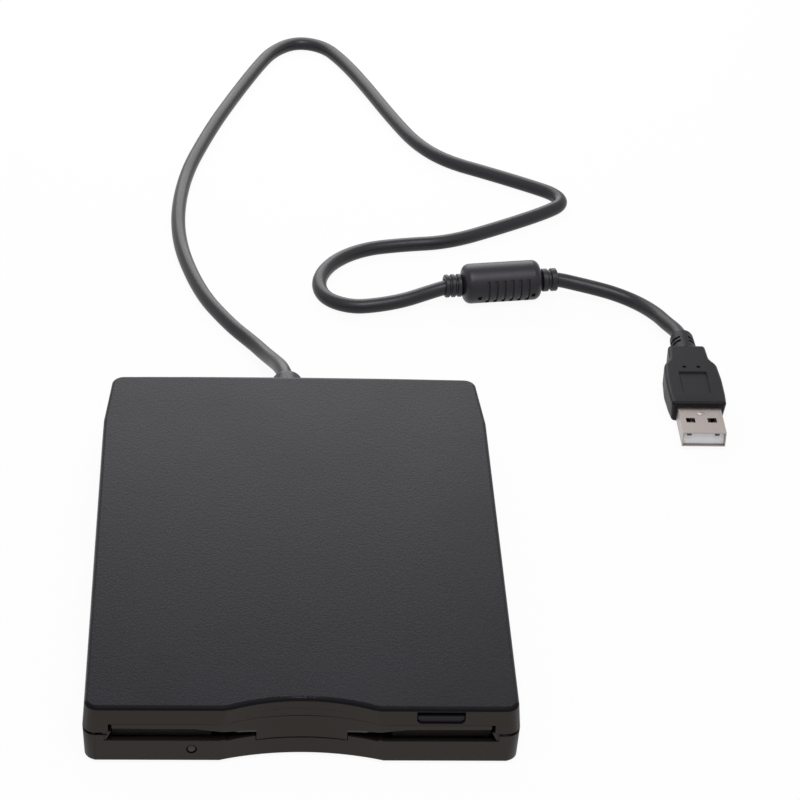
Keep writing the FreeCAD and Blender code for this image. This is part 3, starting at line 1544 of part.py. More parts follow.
def make_switch_bodies():
    half = d.switch_width / 2
    bodies = []
    for name, x in SWITCHES.items():
        shell = box(f"{name}_shell", (x - half, x + half),
                    (switch_front, switch_front + d.switch_width), (front_board_top, switch_top))
        well = plunger_well(f"{name}_well", front_board_top, switch_top)
        bind(well, "Placement.Base.x", x)
        bodies.append(cut(f"{name}_switch", shell, [well]))
    return group("switch_bodies", bodies)


def make_plunger(name):
    low = front_board_low + d.plunger_travel + d.plunger_gap * 2
    return rod(f"{name}_plunger", (SWITCHES[name], switch_middle_y), d.plunger_radius, "Z",
               low, plunger_top)


def make_main_board():
    return box("main_board", (d.main_board_left, main_board_right),
               (main_board_front, main_board_back), (main_board_low, main_board_top))


def chip(name, centre, size, low):
    """A packaged part standing on a board: centre and plan size, then its height."""
    (x, y), (wide, deep, tall) = centre, [as_size(side) for side in size]
    return box(name, (x - wide / 2, x + wide / 2), (y - deep / 2, y + deep / 2),
               (low, low + tall))


# Each part on the main board: its place as a share of the board's width, its distance from
# the board's front edge, and its plan size and height.
MAIN_BOARD_PARTS = {
    "drive_controller": (0.4, 12, (10, 10, 1.2)),
    "motor_driver": (0.82, 8, (7, 9, 1.4)),
    "stepper_driver": (0.85, 17, (5, 6, 1.2)),
    "oscillator": (0.15, 4, (3.2, 5, 1.0)),
}
# Each part on the cord's board: its place as a share of the board's left half, and its size.
USB_BOARD_PARTS = {
    "bridge_controller": (0.41, (6, 6, 1.0)),
    "crystal": (0.7, (8, 3.6, 2.8)),
}
CAPACITOR_PLACE = 0.92
CAPACITOR_RADIUS = 2.0
CAPACITOR_HEIGHT = 5.4
CORD_HEADER_PLAN = (9, 4)
BRIDGE_SOCKET = (16, 4, 1.5)
BRIDGE_SOCKET_INSET = 2.5
BOARD_SOCKET = (16, 4, 2.2)
BOARD_SOCKET_OFFSET = 1.6
bridge_middle = d.bridge_left + d.bridge_width / 2


def make_main_board_chips():
    left, low = d.main_board_left, main_board_top
    width = main_board_right - left
    parts = [chip(name, (left + width * share, main_board_front + depth), size, low)
             for name, (share, depth, size) in MAIN_BOARD_PARTS.items()]
    socket_y = main_board_back - BRIDGE_SOCKET_INSET
    parts.append(chip("bridge_socket", (bridge_middle, socket_y), BRIDGE_SOCKET, low))
    return group("main_board_chips", parts)


def make_usb_board():
    return box("usb_board", (-d.usb_board_left, d.usb_board_right),
               (usb_board_front, usb_board_back), (usb_board_low, usb_board_top))


def make_usb_board_chips():
    y, low = usb_board_middle, usb_board_top
    parts = [chip(name, (-d.usb_board_left * share, y), size, low)
             for name, (share, size) in USB_BOARD_PARTS.items()]
    parts.append(rod("capacitor", (-d.usb_board_left * CAPACITOR_PLACE, y), CAPACITOR_RADIUS,
                     "Z", low, low + CAPACITOR_HEIGHT))
    parts.append(chip("cord_header", (d.cord_x, y), (*CORD_HEADER_PLAN, d.header_height), low))
    parts.append(chip("board_bridge_socket", (bridge_middle, y - BOARD_SOCKET_OFFSET),
                      BOARD_SOCKET, low))
    return group("usb_board_chips", parts)


SOCKET_DEPTH = 3.0
SOCKET_MARGIN = 1.0
SOCKET_OVER_LEAD = 0.4
BRIDGE_LIFT = 0.6
BRIDGE_OVERLAP = 0.5
BRIDGE_END = 3.6


def make_flat_cables():
    right = d.ribbon_left + d.ribbon_width
    lead_start = front_board_back - d.ribbon_width / 2
    lead_top = base_top + d.ribbon_thickness
    sensor_lead = box("front_lead", (d.ribbon_left, right),
                      (lead_start, main_board_front + d.ribbon_width / 2), (base_top, lead_top))
    socket = box("front_socket", (d.ribbon_left - SOCKET_MARGIN, right + SOCKET_MARGIN),
                 (lead_start - SOCKET_DEPTH, lead_start),
                 (front_board_top, lead_top + SOCKET_OVER_LEAD))
    height = main_board_top + BRIDGE_LIFT
    bridge = box("bridge_lead", (d.bridge_left, d.bridge_left + d.bridge_width),
                 (main_board_back - BRIDGE_OVERLAP, usb_board_middle - BRIDGE_END),
                 (height, height + d.ribbon_thickness))
    return group("flat_cables", [sensor_lead, socket, bridge])


# ---------------------------------------------------------------- springs, wires and cord

def rounded_path(points, share=0.45):
    """Straight runs joined by tangent arcs; returns the wire and the arcs' radii."""
    edges = []
    radii = []
    reached = points[0]
    for before, corner, after in zip(points, points[1:], points[2:]):
        back, ahead = (before - corner), (after - corner)
        reach = share * min(back.Length, ahead.Length)
        turn = math.pi - back.getAngle(ahead)
        radius = reach / math.tan(turn / 2)
        begin = corner + Vector(back).normalize() * reach
        finish = corner + Vector(ahead).normalize() * reach
        inward = (Vector(back).normalize() + Vector(ahead).normalize()).normalize()
        middle = corner + inward * (radius / math.cos(turn / 2) - radius)
        edges.append(Part.LineSegment(reached, begin).toShape())
        edges.append(Part.Arc(begin, middle, finish).toShape())
        radii.append(radius)
        reached = finish
    edges.append(Part.LineSegment(reached, points[-1]).toShape())
    return Part.Wire(edges), radii


def sweep(wire, start, heading, radius):
    """A round solid along a wire."""
    profile = Part.Wire(Part.makeCircle(radius, start, heading))
    return wire.makePipeShell([profile], True, True)


def shape_object(label, shape, placement=None):
    """A document object that holds a made shape."""
    thing = doc.addObject("Part::Feature", label)
    thing.Shape = shape
    thing.Label = label
    if placement is not None:
        thing.Placement = placement
    return thing


def coil(radius, wire, length, turns):
    """A helical spring about Z from height 0."""
    pitch = (length - 2 * wire) / turns
    helix = Part.makeHelix(pitch, length - 2 * wire, radius)
    helix.translate(Vector(0, 0, wire))
    tangent = Vector(0, 2 * math.pi * radius, pitch)
    return sweep(helix, Vector(radius, 0, wire), tangent, wire)


def along(direction, place):
    """A placement that lays the Z axis along a direction."""
    return FreeCAD.Placement(place, FreeCAD.Rotation(Vector(0, 0, 1), direction))


def make_slider_springs():
    wire = float(d.spring_wire)
    start, finish = float(slider_rear), float(spring_tab_y)
    shape = coil(float(spring_coil), wire, finish - start, turns=11)
    springs = []
    for side in SIDES:
        place = Vector(side * float(spring_x), start, float(spring_z))
        name = "right_slider_spring" if side > 0 else "left_slider_spring"
        springs.append(shape_object(name, shape, along(Vector(0, 1, 0), place)))
    return group("slider_springs", springs)


def make_flap_spring():
    wire = float(d.spring_wire)
    radius = float(d.flap_pin_radius) + 2 * wire
    length = float(d.flap_spring_length) - 4 * wire
    place = Vector(-float(lug_start) + 2 * wire, float(flap_axis_y), float(d.flap_axis_height))
    return shape_object("flap_spring", coil(radius, wire, length, turns=7),
                        along(Vector(1, 0, 0), place))


def make_arm_spring():
    wire = float(d.spring_wire)
    radius = float(d.arm_pin_radius) + 2 * wire
    length = float(d.arm_spring_room) - 4 * wire
    place = Vector(float(d.arm_half_rear - d.arm_spring_room) + 2 * wire,
                   float(arm_hinge_y), float(d.arm_hinge_z))
    return shape_object("arm_spring", coil(radius, wire, length, turns=4),
                        along(Vector(1, 0, 0), place))


def make_lever_spring():
    wire = float(d.spring_wire)
    x, y = float(lever_tail_end[0]), float(lever_tail_end[1] - d.lever_width / 4)
    finish = float(lever_hook_y)
    radius = (float(slider_low) - float(holder_top)) / 2 - 3 * wire
    place = Vector(x, y, float(holder_top) + radius + 2 * wire)
    return shape_object("lever_spring", coil(radius, wire, y - finish, turns=9),
                        along(Vector(0, -1, 0), place))


boot_tip_y = rear + d.boot_length
plug_boot_end = d.plug_face_y + d.grip_length + d.plug_boot_length
boot_flange_back = inner_rear - d.pin_run_gap


def make_cord_boot():
    body = doc.addObject("PartDesign::Body", "cord_boot")
    body.Label = "cord_boot"
    body.Placement = FreeCAD.Placement(Vector(), FreeCAD.Rotation(Vector(1, 0, 0), -90))
    bind(body, "Placement.Base.x", d.cord_x)
    bind(body, "Placement.Base.z", seam)
    start = boot_flange_back - d.boot_flange_thickness
    revolve(body, "grommet", [outline([
        (0, start), (d.boot_flange_radius, start), (d.boot_flange_radius, boot_flange_back),
        (d.boot_neck_radius - d.pin_run_gap, boot_flange_back),
        (d.boot_neck_radius - d.pin_run_gap, rear + d.pin_run_gap),
        (d.boot_root_radius, rear + d.pin_run_gap), (d.boot_tip_radius, boot_tip_y),
        (0, boot_tip_y)])])
    return body


WIRE_COUNT = 4
WIRE_LEAD_OUT = 1.4
WIRE_DIP = 0.2


def make_signal_wires():
    start_y = float(boot_flange_back - d.boot_flange_thickness)
    down_to = float(usb_board_top + d.header_height)
    radius = float(d.wire_radius)
    wires = []
    for index in range(WIRE_COUNT):
        place = index - (WIRE_COUNT - 1) / 2
        out_x = float(d.cord_x) + place * float(d.wire_spacing)
        end_x = float(d.cord_x) + place * float(d.header_pitch)
        level = float(seam)
        points = [Vector(out_x, start_y, level), Vector(out_x, start_y - WIRE_LEAD_OUT, level),
                  Vector(end_x, float(usb_board_middle), level - WIRE_DIP),
                  Vector(end_x, float(usb_board_middle), down_to)]
        wire, _ = rounded_path(points)
        shape = sweep(wire, points[0], points[1] - points[0], radius)
        wires.append(shape_object(f"signal_wire_{index}", shape))
    return group("signal_wires", wires)


on_table = float(d.cable_radius + d.cable_floor_gap)
in_ferrite = float(d.ferrite_radius)
at_plug = float(d.plug_thickness) / 2

# The cord's route from the strain relief to the ferrite sleeve, laid on the table.
ROUTE_TO_FERRITE = [
    (float(d.cord_x), float(boot_tip_y), float(seam)), (-2.2, 84.0, 9.2), (-3.4, 90.2, 7.9),
    (-4.9, 96.4, 5.6), (-7.5, 103.9, 3.3), (-11.3, 112.0, on_table), (-17.6, 121.1, on_table),
    (-27, 140, on_table), (-34.3, 172.4, on_table), (-32.8, 207.2, on_table),
    (-24.7, 239.2, on_table), (-17.6, 261.2, on_table), (-9.0, 285.3, on_table),
    (-3.8, 297.0, on_table), (4.1, 303.9, on_table), (13.4, 300.9, on_table),
    (19.3, 290.5, on_table), (25.4, 275.8, on_table), (34.8, 248.9, on_table),
    (41.6, 232.3, on_table), (50.4, 221.2, on_table), (63.9, 213.5, on_table),
    (76.6, 205.6, on_table), (83.7, 200.6, on_table), (85.5, 194.6, on_table),
    (79.3, 189.0, on_table), (65.5, 180, on_table), (48.7, 170.2, on_table),
    (34, 168.3, on_table), (21.8, 165.3, on_table), (12.5, 157.3, on_table),
    (8.0, 146.4, on_table), (9.8, 136.4, 2.3), (17.6, 131.2, 2.6), (25.7, 131.7, 3.4),
    (33.0, 133.7, 4.4), (40.1, 138.0, in_ferrite),
]
# The rest of the route, from the sleeve to the plug.
ROUTE_TO_PLUG = [
    (82.4, 144.1, in_ferrite), (88.2, 141.3, 4.7), (95.5, 139.5, 3.5), (102.2, 136.1, 2.4),
    (107.2, 129.9, 2.5), (110.1, 123.9, 3.1), (112.6, 118.4, at_plug),
    (float(d.plug_x), float(plug_boot_end), at_plug),
]


def make_usb_cable():
    points = [Vector(*place) for place in ROUTE_TO_FERRITE + ROUTE_TO_PLUG]
    wire, radii = rounded_path(points)
    radius = float(d.cable_radius)
    shape = sweep(wire, points[0], points[1] - points[0], radius)
    expected = math.pi * radius ** 2 * wire.Length
    print("cord bend radii", [round(bend, 1) for bend in radii])
    print("cord length", round(wire.Length, 1), "volume ratio", round(shape.Volume / expected, 4))
    return shape_object("usb_cable", shape)


# ---------------------------------------------------------------- ferrite sleeve

relief_end = d.relief_in_length + d.ferrite_length


def on_cord(body):
    """Stand a body's Z axis along the cord where it runs straight through the sleeve."""
    entry = Vector(*ROUTE_TO_FERRITE[-1])
    heading = (Vector(*ROUTE_TO_PLUG[0]) - entry).normalize()
    start = entry + heading * float(d.ferrite_start)
    body.Placement = along(heading, start)
    return body


def relief_profile(start, length):
    """Corners of a ringed strain relief, from the sleeve's axis height start."""
    outer, root = d.relief_radius, d.relief_radius - d.relief_groove
    count = round(float(length) / (2 * float(d.relief_ring)))
    pitch = length / count
    corners = []
    for index in range(count):
        low = start + index * pitch
        corners += [(outer, low), (outer, low + pitch / 2), (root, low + pitch / 2),
                    (root, low + pitch)]
    return corners


def make_ferrite_housing():
    body = on_cord(doc.addObject("PartDesign::Body", "ferrite_housing"))
    body.Label = "ferrite_housing"
    bore = d.cable_radius + d.ferrite_bore_gap
    rounding, outer = d.ferrite_rounding, d.ferrite_radius
    step = rounding * (1 - math.sqrt(0.5))
    low, high = d.relief_in_length, relief_end
    end = relief_end + d.relief_out_length
    core_low, core_high = low + d.ferrite_core_margin, high - d.ferrite_core_margin
    revolve(body, "sleeve", [
        outline([(bore, 0), *relief_profile(as_size(0), low), (outer - rounding, low),
                 (outer - step, low + step), (outer, low + rounding),
                 (outer, high - rounding), (outer - step, high - step),
                 (outer - rounding, high),
                 *relief_profile(high, d.relief_out_length), (bore, end)]),
        rectangle((d.ferrite_core_inner, d.ferrite_core_outer), (core_low, core_high))])
    return body


def make_ferrite_core():
    body = on_cord(doc.addObject("PartDesign::Body", "ferrite_core"))
    body.Label = "ferrite_core"
    low, high = d.relief_in_length, relief_end
    core_low, core_high = low + d.ferrite_core_margin, high - d.ferrite_core_margin
    revolve(body, "core", [
        rectangle((d.ferrite_core_inner, d.ferrite_core_outer), (core_low, core_high))])
    return body


# ---------------------------------------------------------------- plug

plug_level = d.plug_thickness / 2
shell_half = d.shell_width / 2
shell_low = plug_level - d.shell_height / 2
shell_high = plug_level + d.shell_height / 2
shell_tip = -d.shell_reach
tongue_half_width = shell_half - d.shell_sheet
tongue_top = shell_low + d.shell_sheet + d.tongue_thickness


def make_plug_grip():
    body = new_body("plug_grip", d.plug_x, d.plug_face_y, 0)
    front_half, shoulder_half = d.grip_front_half, d.grip_shoulder_half
    neck_half, rear_half = d.grip_neck_half, d.grip_rear_half
    pad(body, "block", "XY", 0, d.plug_thickness, [outline([
        (-front_half, 0), (front_half, 0), (shoulder_half, d.grip_shoulder),
        (neck_half, d.grip_neck), (rear_half, d.grip_length), (-rear_half, d.grip_length),
        (-neck_half, d.grip_neck), (-shoulder_half, d.grip_shoulder)])])
    half_depth = float(d.plug_thickness) / 2
    round_edges(body, "edges", d.grip_rounding,
                lambda edge: abs(edge.BoundBox.Center.z - half_depth) > half_depth * 0.9)
    pocket(body, "shell_seat", "XZ", 0, d.shell_seat,
           [rectangle((-shell_half, shell_half), (shell_low, shell_high))])
    top = d.plug_thickness
    pocket(body, "panel", "XY", top - d.panel_depth, top,
           [rectangle((-d.panel_half, d.panel_half),
                      (d.panel_start, d.panel_start + d.panel_length))])
    return body


def make_plug_boot():
    body = doc.addObject("PartDesign::Body", "plug_boot")
    body.Label = "plug_boot"
    body.Placement = FreeCAD.Placement(Vector(), TURN_TO_Y)
    for axis, size in zip("xyz", (d.plug_x, d.plug_face_y + d.grip_length, plug_level)):
        bind(body, f"Placement.Base.{axis}", size)
    length = d.plug_boot_length
    revolve(body, "taper", [outline([
        (0, 0), (d.plug_boot_radius, 0), (d.plug_boot_tip, length), (0, length)])])
    core = d.cable_radius
    outer = d.plug_boot_radius + d.plug_boot_slot
    for index in range(3):
        start = d.plug_boot_slot + index * d.plug_boot_pitch
        for side in SIDES:
            name = "upper" if side > 0 else "lower"
            pocket(body, f"{name}_slot_{index}", "XY", start, start + d.plug_boot_slot,
                   [rectangle((-outer, outer), on_side(side, core, outer))])
    return body


def make_plug_shell():
    body = new_body("plug_shell", d.plug_x, d.plug_face_y, 0)
    sheet_in = d.shell_sheet
    pad(body, "tube", "XZ", shell_tip, d.shell_seat, [
        rectangle((-shell_half, shell_half), (shell_low, shell_high)),
        rectangle((-tongue_half_width, tongue_half_width),
                  (shell_low + sheet_in, shell_high - sheet_in))])
    hole_low = shell_tip + d.shell_hole_back
    holes = [rectangle((side * d.shell_hole_x - d.shell_hole / 2,
                        side * d.shell_hole_x + d.shell_hole / 2),
                       (hole_low, hole_low + d.shell_hole)) for side in SIDES]
    pocket(body, "latch_holes", "XY", shell_low, shell_high, holes)
    return body


def make_plug_tongue():
    body = new_body("plug_tongue", d.plug_x, d.plug_face_y, 0)
    half = tongue_half_width
    pad(body, "blade", "XZ", shell_tip + d.tongue_setback, 0,
        [rectangle((-half, half), (shell_low + d.shell_sheet, tongue_top))])
    pad(body, "root", "XZ", 0, d.shell_seat,
        [rectangle((-half, half), (shell_low + d.shell_sheet, shell_high - d.shell_sheet))])
    return body


def make_plug_contacts():
    strips = []
    for side in SIDES:
        for x in (d.contact_inner_x, d.contact_outer_x):
            middle = d.plug_x + side * x
            half = d.contact_width / 2
            strips.append(box(f"contact_{len(strips)}", (middle - half, middle + half),
                              (d.plug_face_y + shell_tip + d.contact_setback, d.plug_face_y),
                              (tongue_top, tongue_top + d.contact_sheet)))
    return group("plug_contacts", strips)


# ---------------------------------------------------------------- build and write

def build():
    """Make every sub-part and return them by their labels."""
    makers = [
        make_top_cover, make_bottom_cover, make_case_screws, make_rubber_feet, make_slot_flap,
        make_flap_pins, make_flap_spring, make_eject_button, make_light_lens, make_light_body,
        make_chassis, make_chassis_screws, make_top_shield, make_slider_plate,
        make_slider_springs, make_disk_holder, make_holder_pins, make_shutter_lever,
        make_lever_rivet, make_lever_spring, make_motor_plate, make_motor_screws,
        make_shaft_bushes, make_stator_core, make_stator_coils, make_rotor_magnet,
        make_rotor_cup, make_spindle_hub, make_spindle_shaft, make_drive_pin,
        make_head_carriage, make_lower_head, make_upper_head_arm,
        make_upper_head, make_arm_hinge_pin, make_arm_spring, make_guide_rod,
        make_stepper_motor, make_lead_screw, make_position_sensors,
        make_front_board, make_switch_bodies, make_main_board, make_main_board_chips,
        make_usb_board, make_usb_board_chips, make_flat_cables, make_cord_boot,
        make_signal_wires, make_usb_cable, make_ferrite_housing, make_ferrite_core,
        make_plug_grip, make_plug_boot, make_plug_shell, make_plug_tongue, make_plug_contacts,
    ]
    pieces = [make() for make in makers]
    pieces += [make_plunger(name) for name in SWITCHES]
    doc.recompute()
    return pieces


def check(pieces):
    """Stop if any object failed or any sub-part has no sound shape."""
    for thing in doc.Objects:
        if "Invalid" in thing.State or "Error" in thing.State:
            raise RuntimeError(f"{thing.Label} failed: {thing.State}")
    for piece in pieces:
        if piece.Shape.isNull() or not piece.Shape.isValid():
            raise RuntimeError(f"{piece.Label} has no valid shape")


sub_parts = build()
check(sub_parts)
os.makedirs("parts", exist_ok=True)
for sub_part in sub_parts:
    sub_part.Shape.exportStep(f"parts/{sub_part.Label}.step")
print("wrote", len(sub_parts), "sub-parts")
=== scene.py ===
# %% [markdown]
# # An external floppy disk drive
# The drive is a flat black case with a slot along its front, and a thick
# moulded lead that ends in a plug. Every working piece comes in as a fixed
# frame, at its real size. This lesson gives those pieces their finishes and
# models the lead, its mouldings and the plug again as smooth meshes.

# %% Load the frame
import json
import math

import bmesh
import bpy
from mathutils import Matrix, Vector


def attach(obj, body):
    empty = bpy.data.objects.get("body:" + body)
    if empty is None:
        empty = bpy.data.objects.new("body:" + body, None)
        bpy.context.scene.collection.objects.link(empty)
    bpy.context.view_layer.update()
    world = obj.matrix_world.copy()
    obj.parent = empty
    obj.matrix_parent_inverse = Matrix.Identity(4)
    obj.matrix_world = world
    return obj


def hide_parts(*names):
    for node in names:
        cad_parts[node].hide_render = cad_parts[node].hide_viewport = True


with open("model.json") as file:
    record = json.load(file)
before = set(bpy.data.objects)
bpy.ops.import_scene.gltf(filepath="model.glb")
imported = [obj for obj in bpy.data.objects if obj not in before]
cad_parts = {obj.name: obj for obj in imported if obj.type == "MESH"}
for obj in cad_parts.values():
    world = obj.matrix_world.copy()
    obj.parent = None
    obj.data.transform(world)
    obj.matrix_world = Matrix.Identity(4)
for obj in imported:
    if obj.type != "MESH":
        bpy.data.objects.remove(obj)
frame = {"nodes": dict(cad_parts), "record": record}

MM = 0.001
scene = bpy.context.scene
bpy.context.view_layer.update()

# %% [markdown]
# ## Camera
# A product shot is taken with a long lens from well above the table, so that
# upright edges stay nearly parallel. A camera could be aimed by hand or by a
# Track To constraint. Here it is placed by the point it looks at, its
# distance and three angles, because each of them can be changed alone.

# %% Camera
LENS_MM = 135.1
VIEW_TARGET = Vector((30.02, 84.68, 0.83)) * MM
VIEW_DISTANCE = 839.957 * MM
VIEW_AZIMUTH = math.radians(-3.9909)
VIEW_ELEVATION = math.radians(33.1756)
VIEW_ROLL = math.radians(2.7545)


def make_camera():
    """A camera that looks at the target from its azimuth and elevation, rolled a little."""
    back = Vector((math.sin(VIEW_AZIMUTH) * math.cos(VIEW_ELEVATION),
                   -math.cos(VIEW_AZIMUTH) * math.cos(VIEW_ELEVATION),
                   math.sin(VIEW_ELEVATION)))
    right = (-back).cross(Vector((0, 0, 1))).normalized()
    turn = Matrix.Rotation(VIEW_ROLL, 3, back)
    right = turn @ right
    up = back.cross(right)
    axes = Matrix((right, up, back)).transposed().to_4x4()
    camera = bpy.data.objects.new("camera", bpy.data.cameras.new("camera"))
    camera.data.lens = LENS_MM
    camera.data.clip_start = 0.01
    camera.data.clip_end = 20
    camera.matrix_world = Matrix.Translation(VIEW_TARGET + back * VIEW_DISTANCE) @ axes
    scene.collection.objects.link(camera)
    scene.camera = camera
    return camera


camera = make_camera()
print("camera stands at", [round(value, 4) for value in camera.matrix_world.translation])

# %% [markdown]
# ## Nodes by code
# A material is a small tree of nodes. Nodes could be wired by hand in the
# editor, but a few helpers make each tree a short text that can be read and
# changed: they add a node, feed its inputs with numbers or with other
# nodes' outputs, and do sums. An effect that several materials share becomes
# a node group with its own named inputs and outputs.

# %% Node helpers


def feed(tree, node, values):
    """Give inputs a constant or another node's output; _ in a name stands for a space."""
    for name, value in values.items():
        socket = node.inputs[name.replace("_", " ") if isinstance(name, str) else name]
        if isinstance(value, bpy.types.NodeSocket):
            tree.links.new(value, socket)
        else:
            socket.default_value = value


def add_node(tree, kind, inputs=None, **settings):
    """Add a node, set its properties and feed its inputs."""
    node = tree.nodes.new("ShaderNode" + kind)
    for name, value in settings.items():
        setattr(node, name, value)
    feed(tree, node, inputs or {})
    return node


def calculate(tree, operation, *values):
    """The result of a Math node."""
    return add_node(tree, "Math", dict(enumerate(values)), operation=operation).outputs[0]


def rescale(tree, value, low, high, from_low=0.0, from_high=1.0):
    """The result of a Map Range node: a value carried from one range to another."""
    ends = {"From Min": from_low, "From Max": from_high, "To Min": low, "To Max": high}
    return add_node(tree, "MapRange", {"Value": value, **ends}).outputs["Result"]


def blend(tree, share, first, second):
    """The result of a Mix node between two colours."""
    return add_node(tree, "Mix", {"Factor": share, "A": first, "B": second},
                    data_type="RGBA").outputs["Result"]


def object_place(tree):
    """The place on the piece, in metres, which patterns are laid out by."""
    return add_node(tree, "TexCoord").outputs["Object"]


# %% Node groups


def new_group(name, inputs, outputs):
    """A node group: inputs are (name, kind, default), outputs are (name, kind)."""
    tree = bpy.data.node_groups.new(name, "ShaderNodeTree")
    for label, kind, default in inputs:
        socket = tree.interface.new_socket(label, in_out="INPUT", socket_type="NodeSocket" + kind)
        socket.default_value = default
    for label, kind in outputs:
        tree.interface.new_socket(label, in_out="OUTPUT", socket_type="NodeSocket" + kind)
    start = tree.nodes.new("NodeGroupInput")
    end = tree.nodes.new("NodeGroupOutput")
    return tree, start.outputs, end


def place_group(tree, group, **values):
    """Put a group into a tree and feed its inputs."""
    return add_node(tree, "Group", values, node_tree=group)


# %% [markdown]
# ## Shared effects
# Moulded plastic is never one even colour: its tint drifts a little, and
# its surface has a fine leather grain that was etched into the mould. Both
# could be painted as images, but noise on Object coordinates needs no
# unwrapping and stays where it is when a piece moves. Sheet metal shows fine
# parallel lines from the rolling mill, which is the same noise, stretched.

# %% Uneven tint


def make_tint_group():
    """A colour that drifts lighter and darker over the surface."""
    tree, given, end = new_group(
        "uneven tint",
        [("Colour", "Color", (0.5, 0.5, 0.5, 1)), ("Amount", "Float", 0.15),
         ("Patches per metre", "Float", 60.0)],
        [("Colour", "Color"), ("Drift", "Float")])
    noise = add_node(tree, "TexNoise", {
        "Vector": object_place(tree), "Scale": given["Patches per metre"], "Detail": 5,
        "Roughness": 0.6}).outputs["Fac"]
    centred = calculate(tree, "SUBTRACT", noise, 0.5)
    swing = calculate(tree, "MULTIPLY", centred, given["Amount"])
    level = calculate(tree, "MULTIPLY_ADD", swing, 2, 1)
    scaled = add_node(tree, "VectorMath", {0: given["Colour"], "Scale": level}, operation="SCALE")
    feed(tree, end, {"Colour": scaled.outputs["Vector"], "Drift": noise})
    return tree


tint_group = make_tint_group()
print("group:", tint_group.name)

# %% Etched leather grain


def make_grain_group():
    """Small rounded pebbles with creases between them, as a height."""
    tree, given, end = new_group("etched grain", [("Pebbles per metre", "Float", 900.0)],
                                 [("Height", "Float")])
    place = object_place(tree)
    pebbles = add_node(tree, "TexVoronoi", {
        "Vector": place, "Scale": given["Pebbles per metre"], "Smoothness": 0.6},
        feature="SMOOTH_F1")
    finer = calculate(tree, "MULTIPLY", given["Pebbles per metre"], 2.6)
    fine = add_node(tree, "TexNoise", {"Vector": place, "Scale": finer, "Detail": 3})
    height = calculate(tree, "SUBTRACT", fine.outputs["Fac"], pebbles.outputs["Distance"])
    feed(tree, end, {"Height": height})
    return tree


grain_group = make_grain_group()
print("group:", grain_group.name)

# %% Rolled or brushed lines


def make_line_group():
    """Fine lines along one axis of the piece, as a value from dark to light."""
    tree, given, end = new_group(
        "drawn lines", [("Stretch", "Vector", (40.0, 2000.0, 2000.0))], [("Lines", "Float")])
    stretched = add_node(tree, "VectorMath", {0: object_place(tree), 1: given["Stretch"]},
                         operation="MULTIPLY")
    noise = add_node(tree, "TexNoise", {"Vector": stretched.outputs["Vector"], "Scale": 1,
                                        "Detail": 2})
    feed(tree, end, {"Lines": noise.outputs["Fac"]})
    return tree


line_group = make_line_group()
print("group:", line_group.name)

# %% Dust


def make_dust_group():
    """Sparse specks, as a mask: the middles of a few cells of a Voronoi pattern."""
    tree, given, end = new_group("dust specks", [("Specks per metre", "Float", 260.0)],
                                 [("Specks", "Float")])
    dots = add_node(tree, "TexVoronoi", {"Vector": object_place(tree),
                                         "Scale": given["Specks per metre"]}, feature="F1")
    near = rescale(tree, dots.outputs["Distance"], 0, 1, 0.11, 0.05)
    chosen = add_node(tree, "SeparateColor", {"Color": dots.outputs["Color"]})
    few = calculate(tree, "GREATER_THAN", chosen.outputs[0], 0.8)
    feed(tree, end, {"Specks": calculate(tree, "MULTIPLY", near, few)})
    return tree


dust_group = make_dust_group()
print("group:", dust_group.name)

# %% [markdown]
# ## Building a material
# Every finish starts from the same few wires: a tinted colour, a roughness
# that varies between two values, and a height for the Bump node. The shader
# itself stays in the material, and its constant values sit on its own
# sockets. Finishes that differ only in their numbers come from a table.

# %% The common material
FINISHES = {}


def start_material(name, colour, drift, patches, rough, **shader_values):
    """A Principled material with a drifting tint and roughness; returns it with its wires."""
    material = bpy.data.materials.new(name)
    material.use_nodes = True
    tree = material.node_tree
    shader = tree.nodes["Principled BSDF"]
    tint = place_group(tree, tint_group, Colour=(*colour, 1), Amount=drift,
                       Patches_per_metre=patches)
    feed(tree, shader, {"Base Color": tint.outputs["Colour"],
                        "Roughness": rescale(tree, tint.outputs["Drift"], *rough, 0.3, 0.7),
                        **shader_values})
    return material, tree, shader, tint


def add_bump(tree, shader, height, depth):
    """Raise the surface by a height value, depth in metres."""
    bump = add_node(tree, "Bump", {"Height": height, "Distance": depth, "Strength": 1.0})
    feed(tree, shader, {"Normal": bump.outputs["Normal"]})


def add_finishes(make, table):
    """Make a finish from each row of a table and file it under its name."""
    for name, look in table.items():
        FINISHES[name] = make(name.replace("_", " "), *look)
    print("finishes:", ", ".join(table))
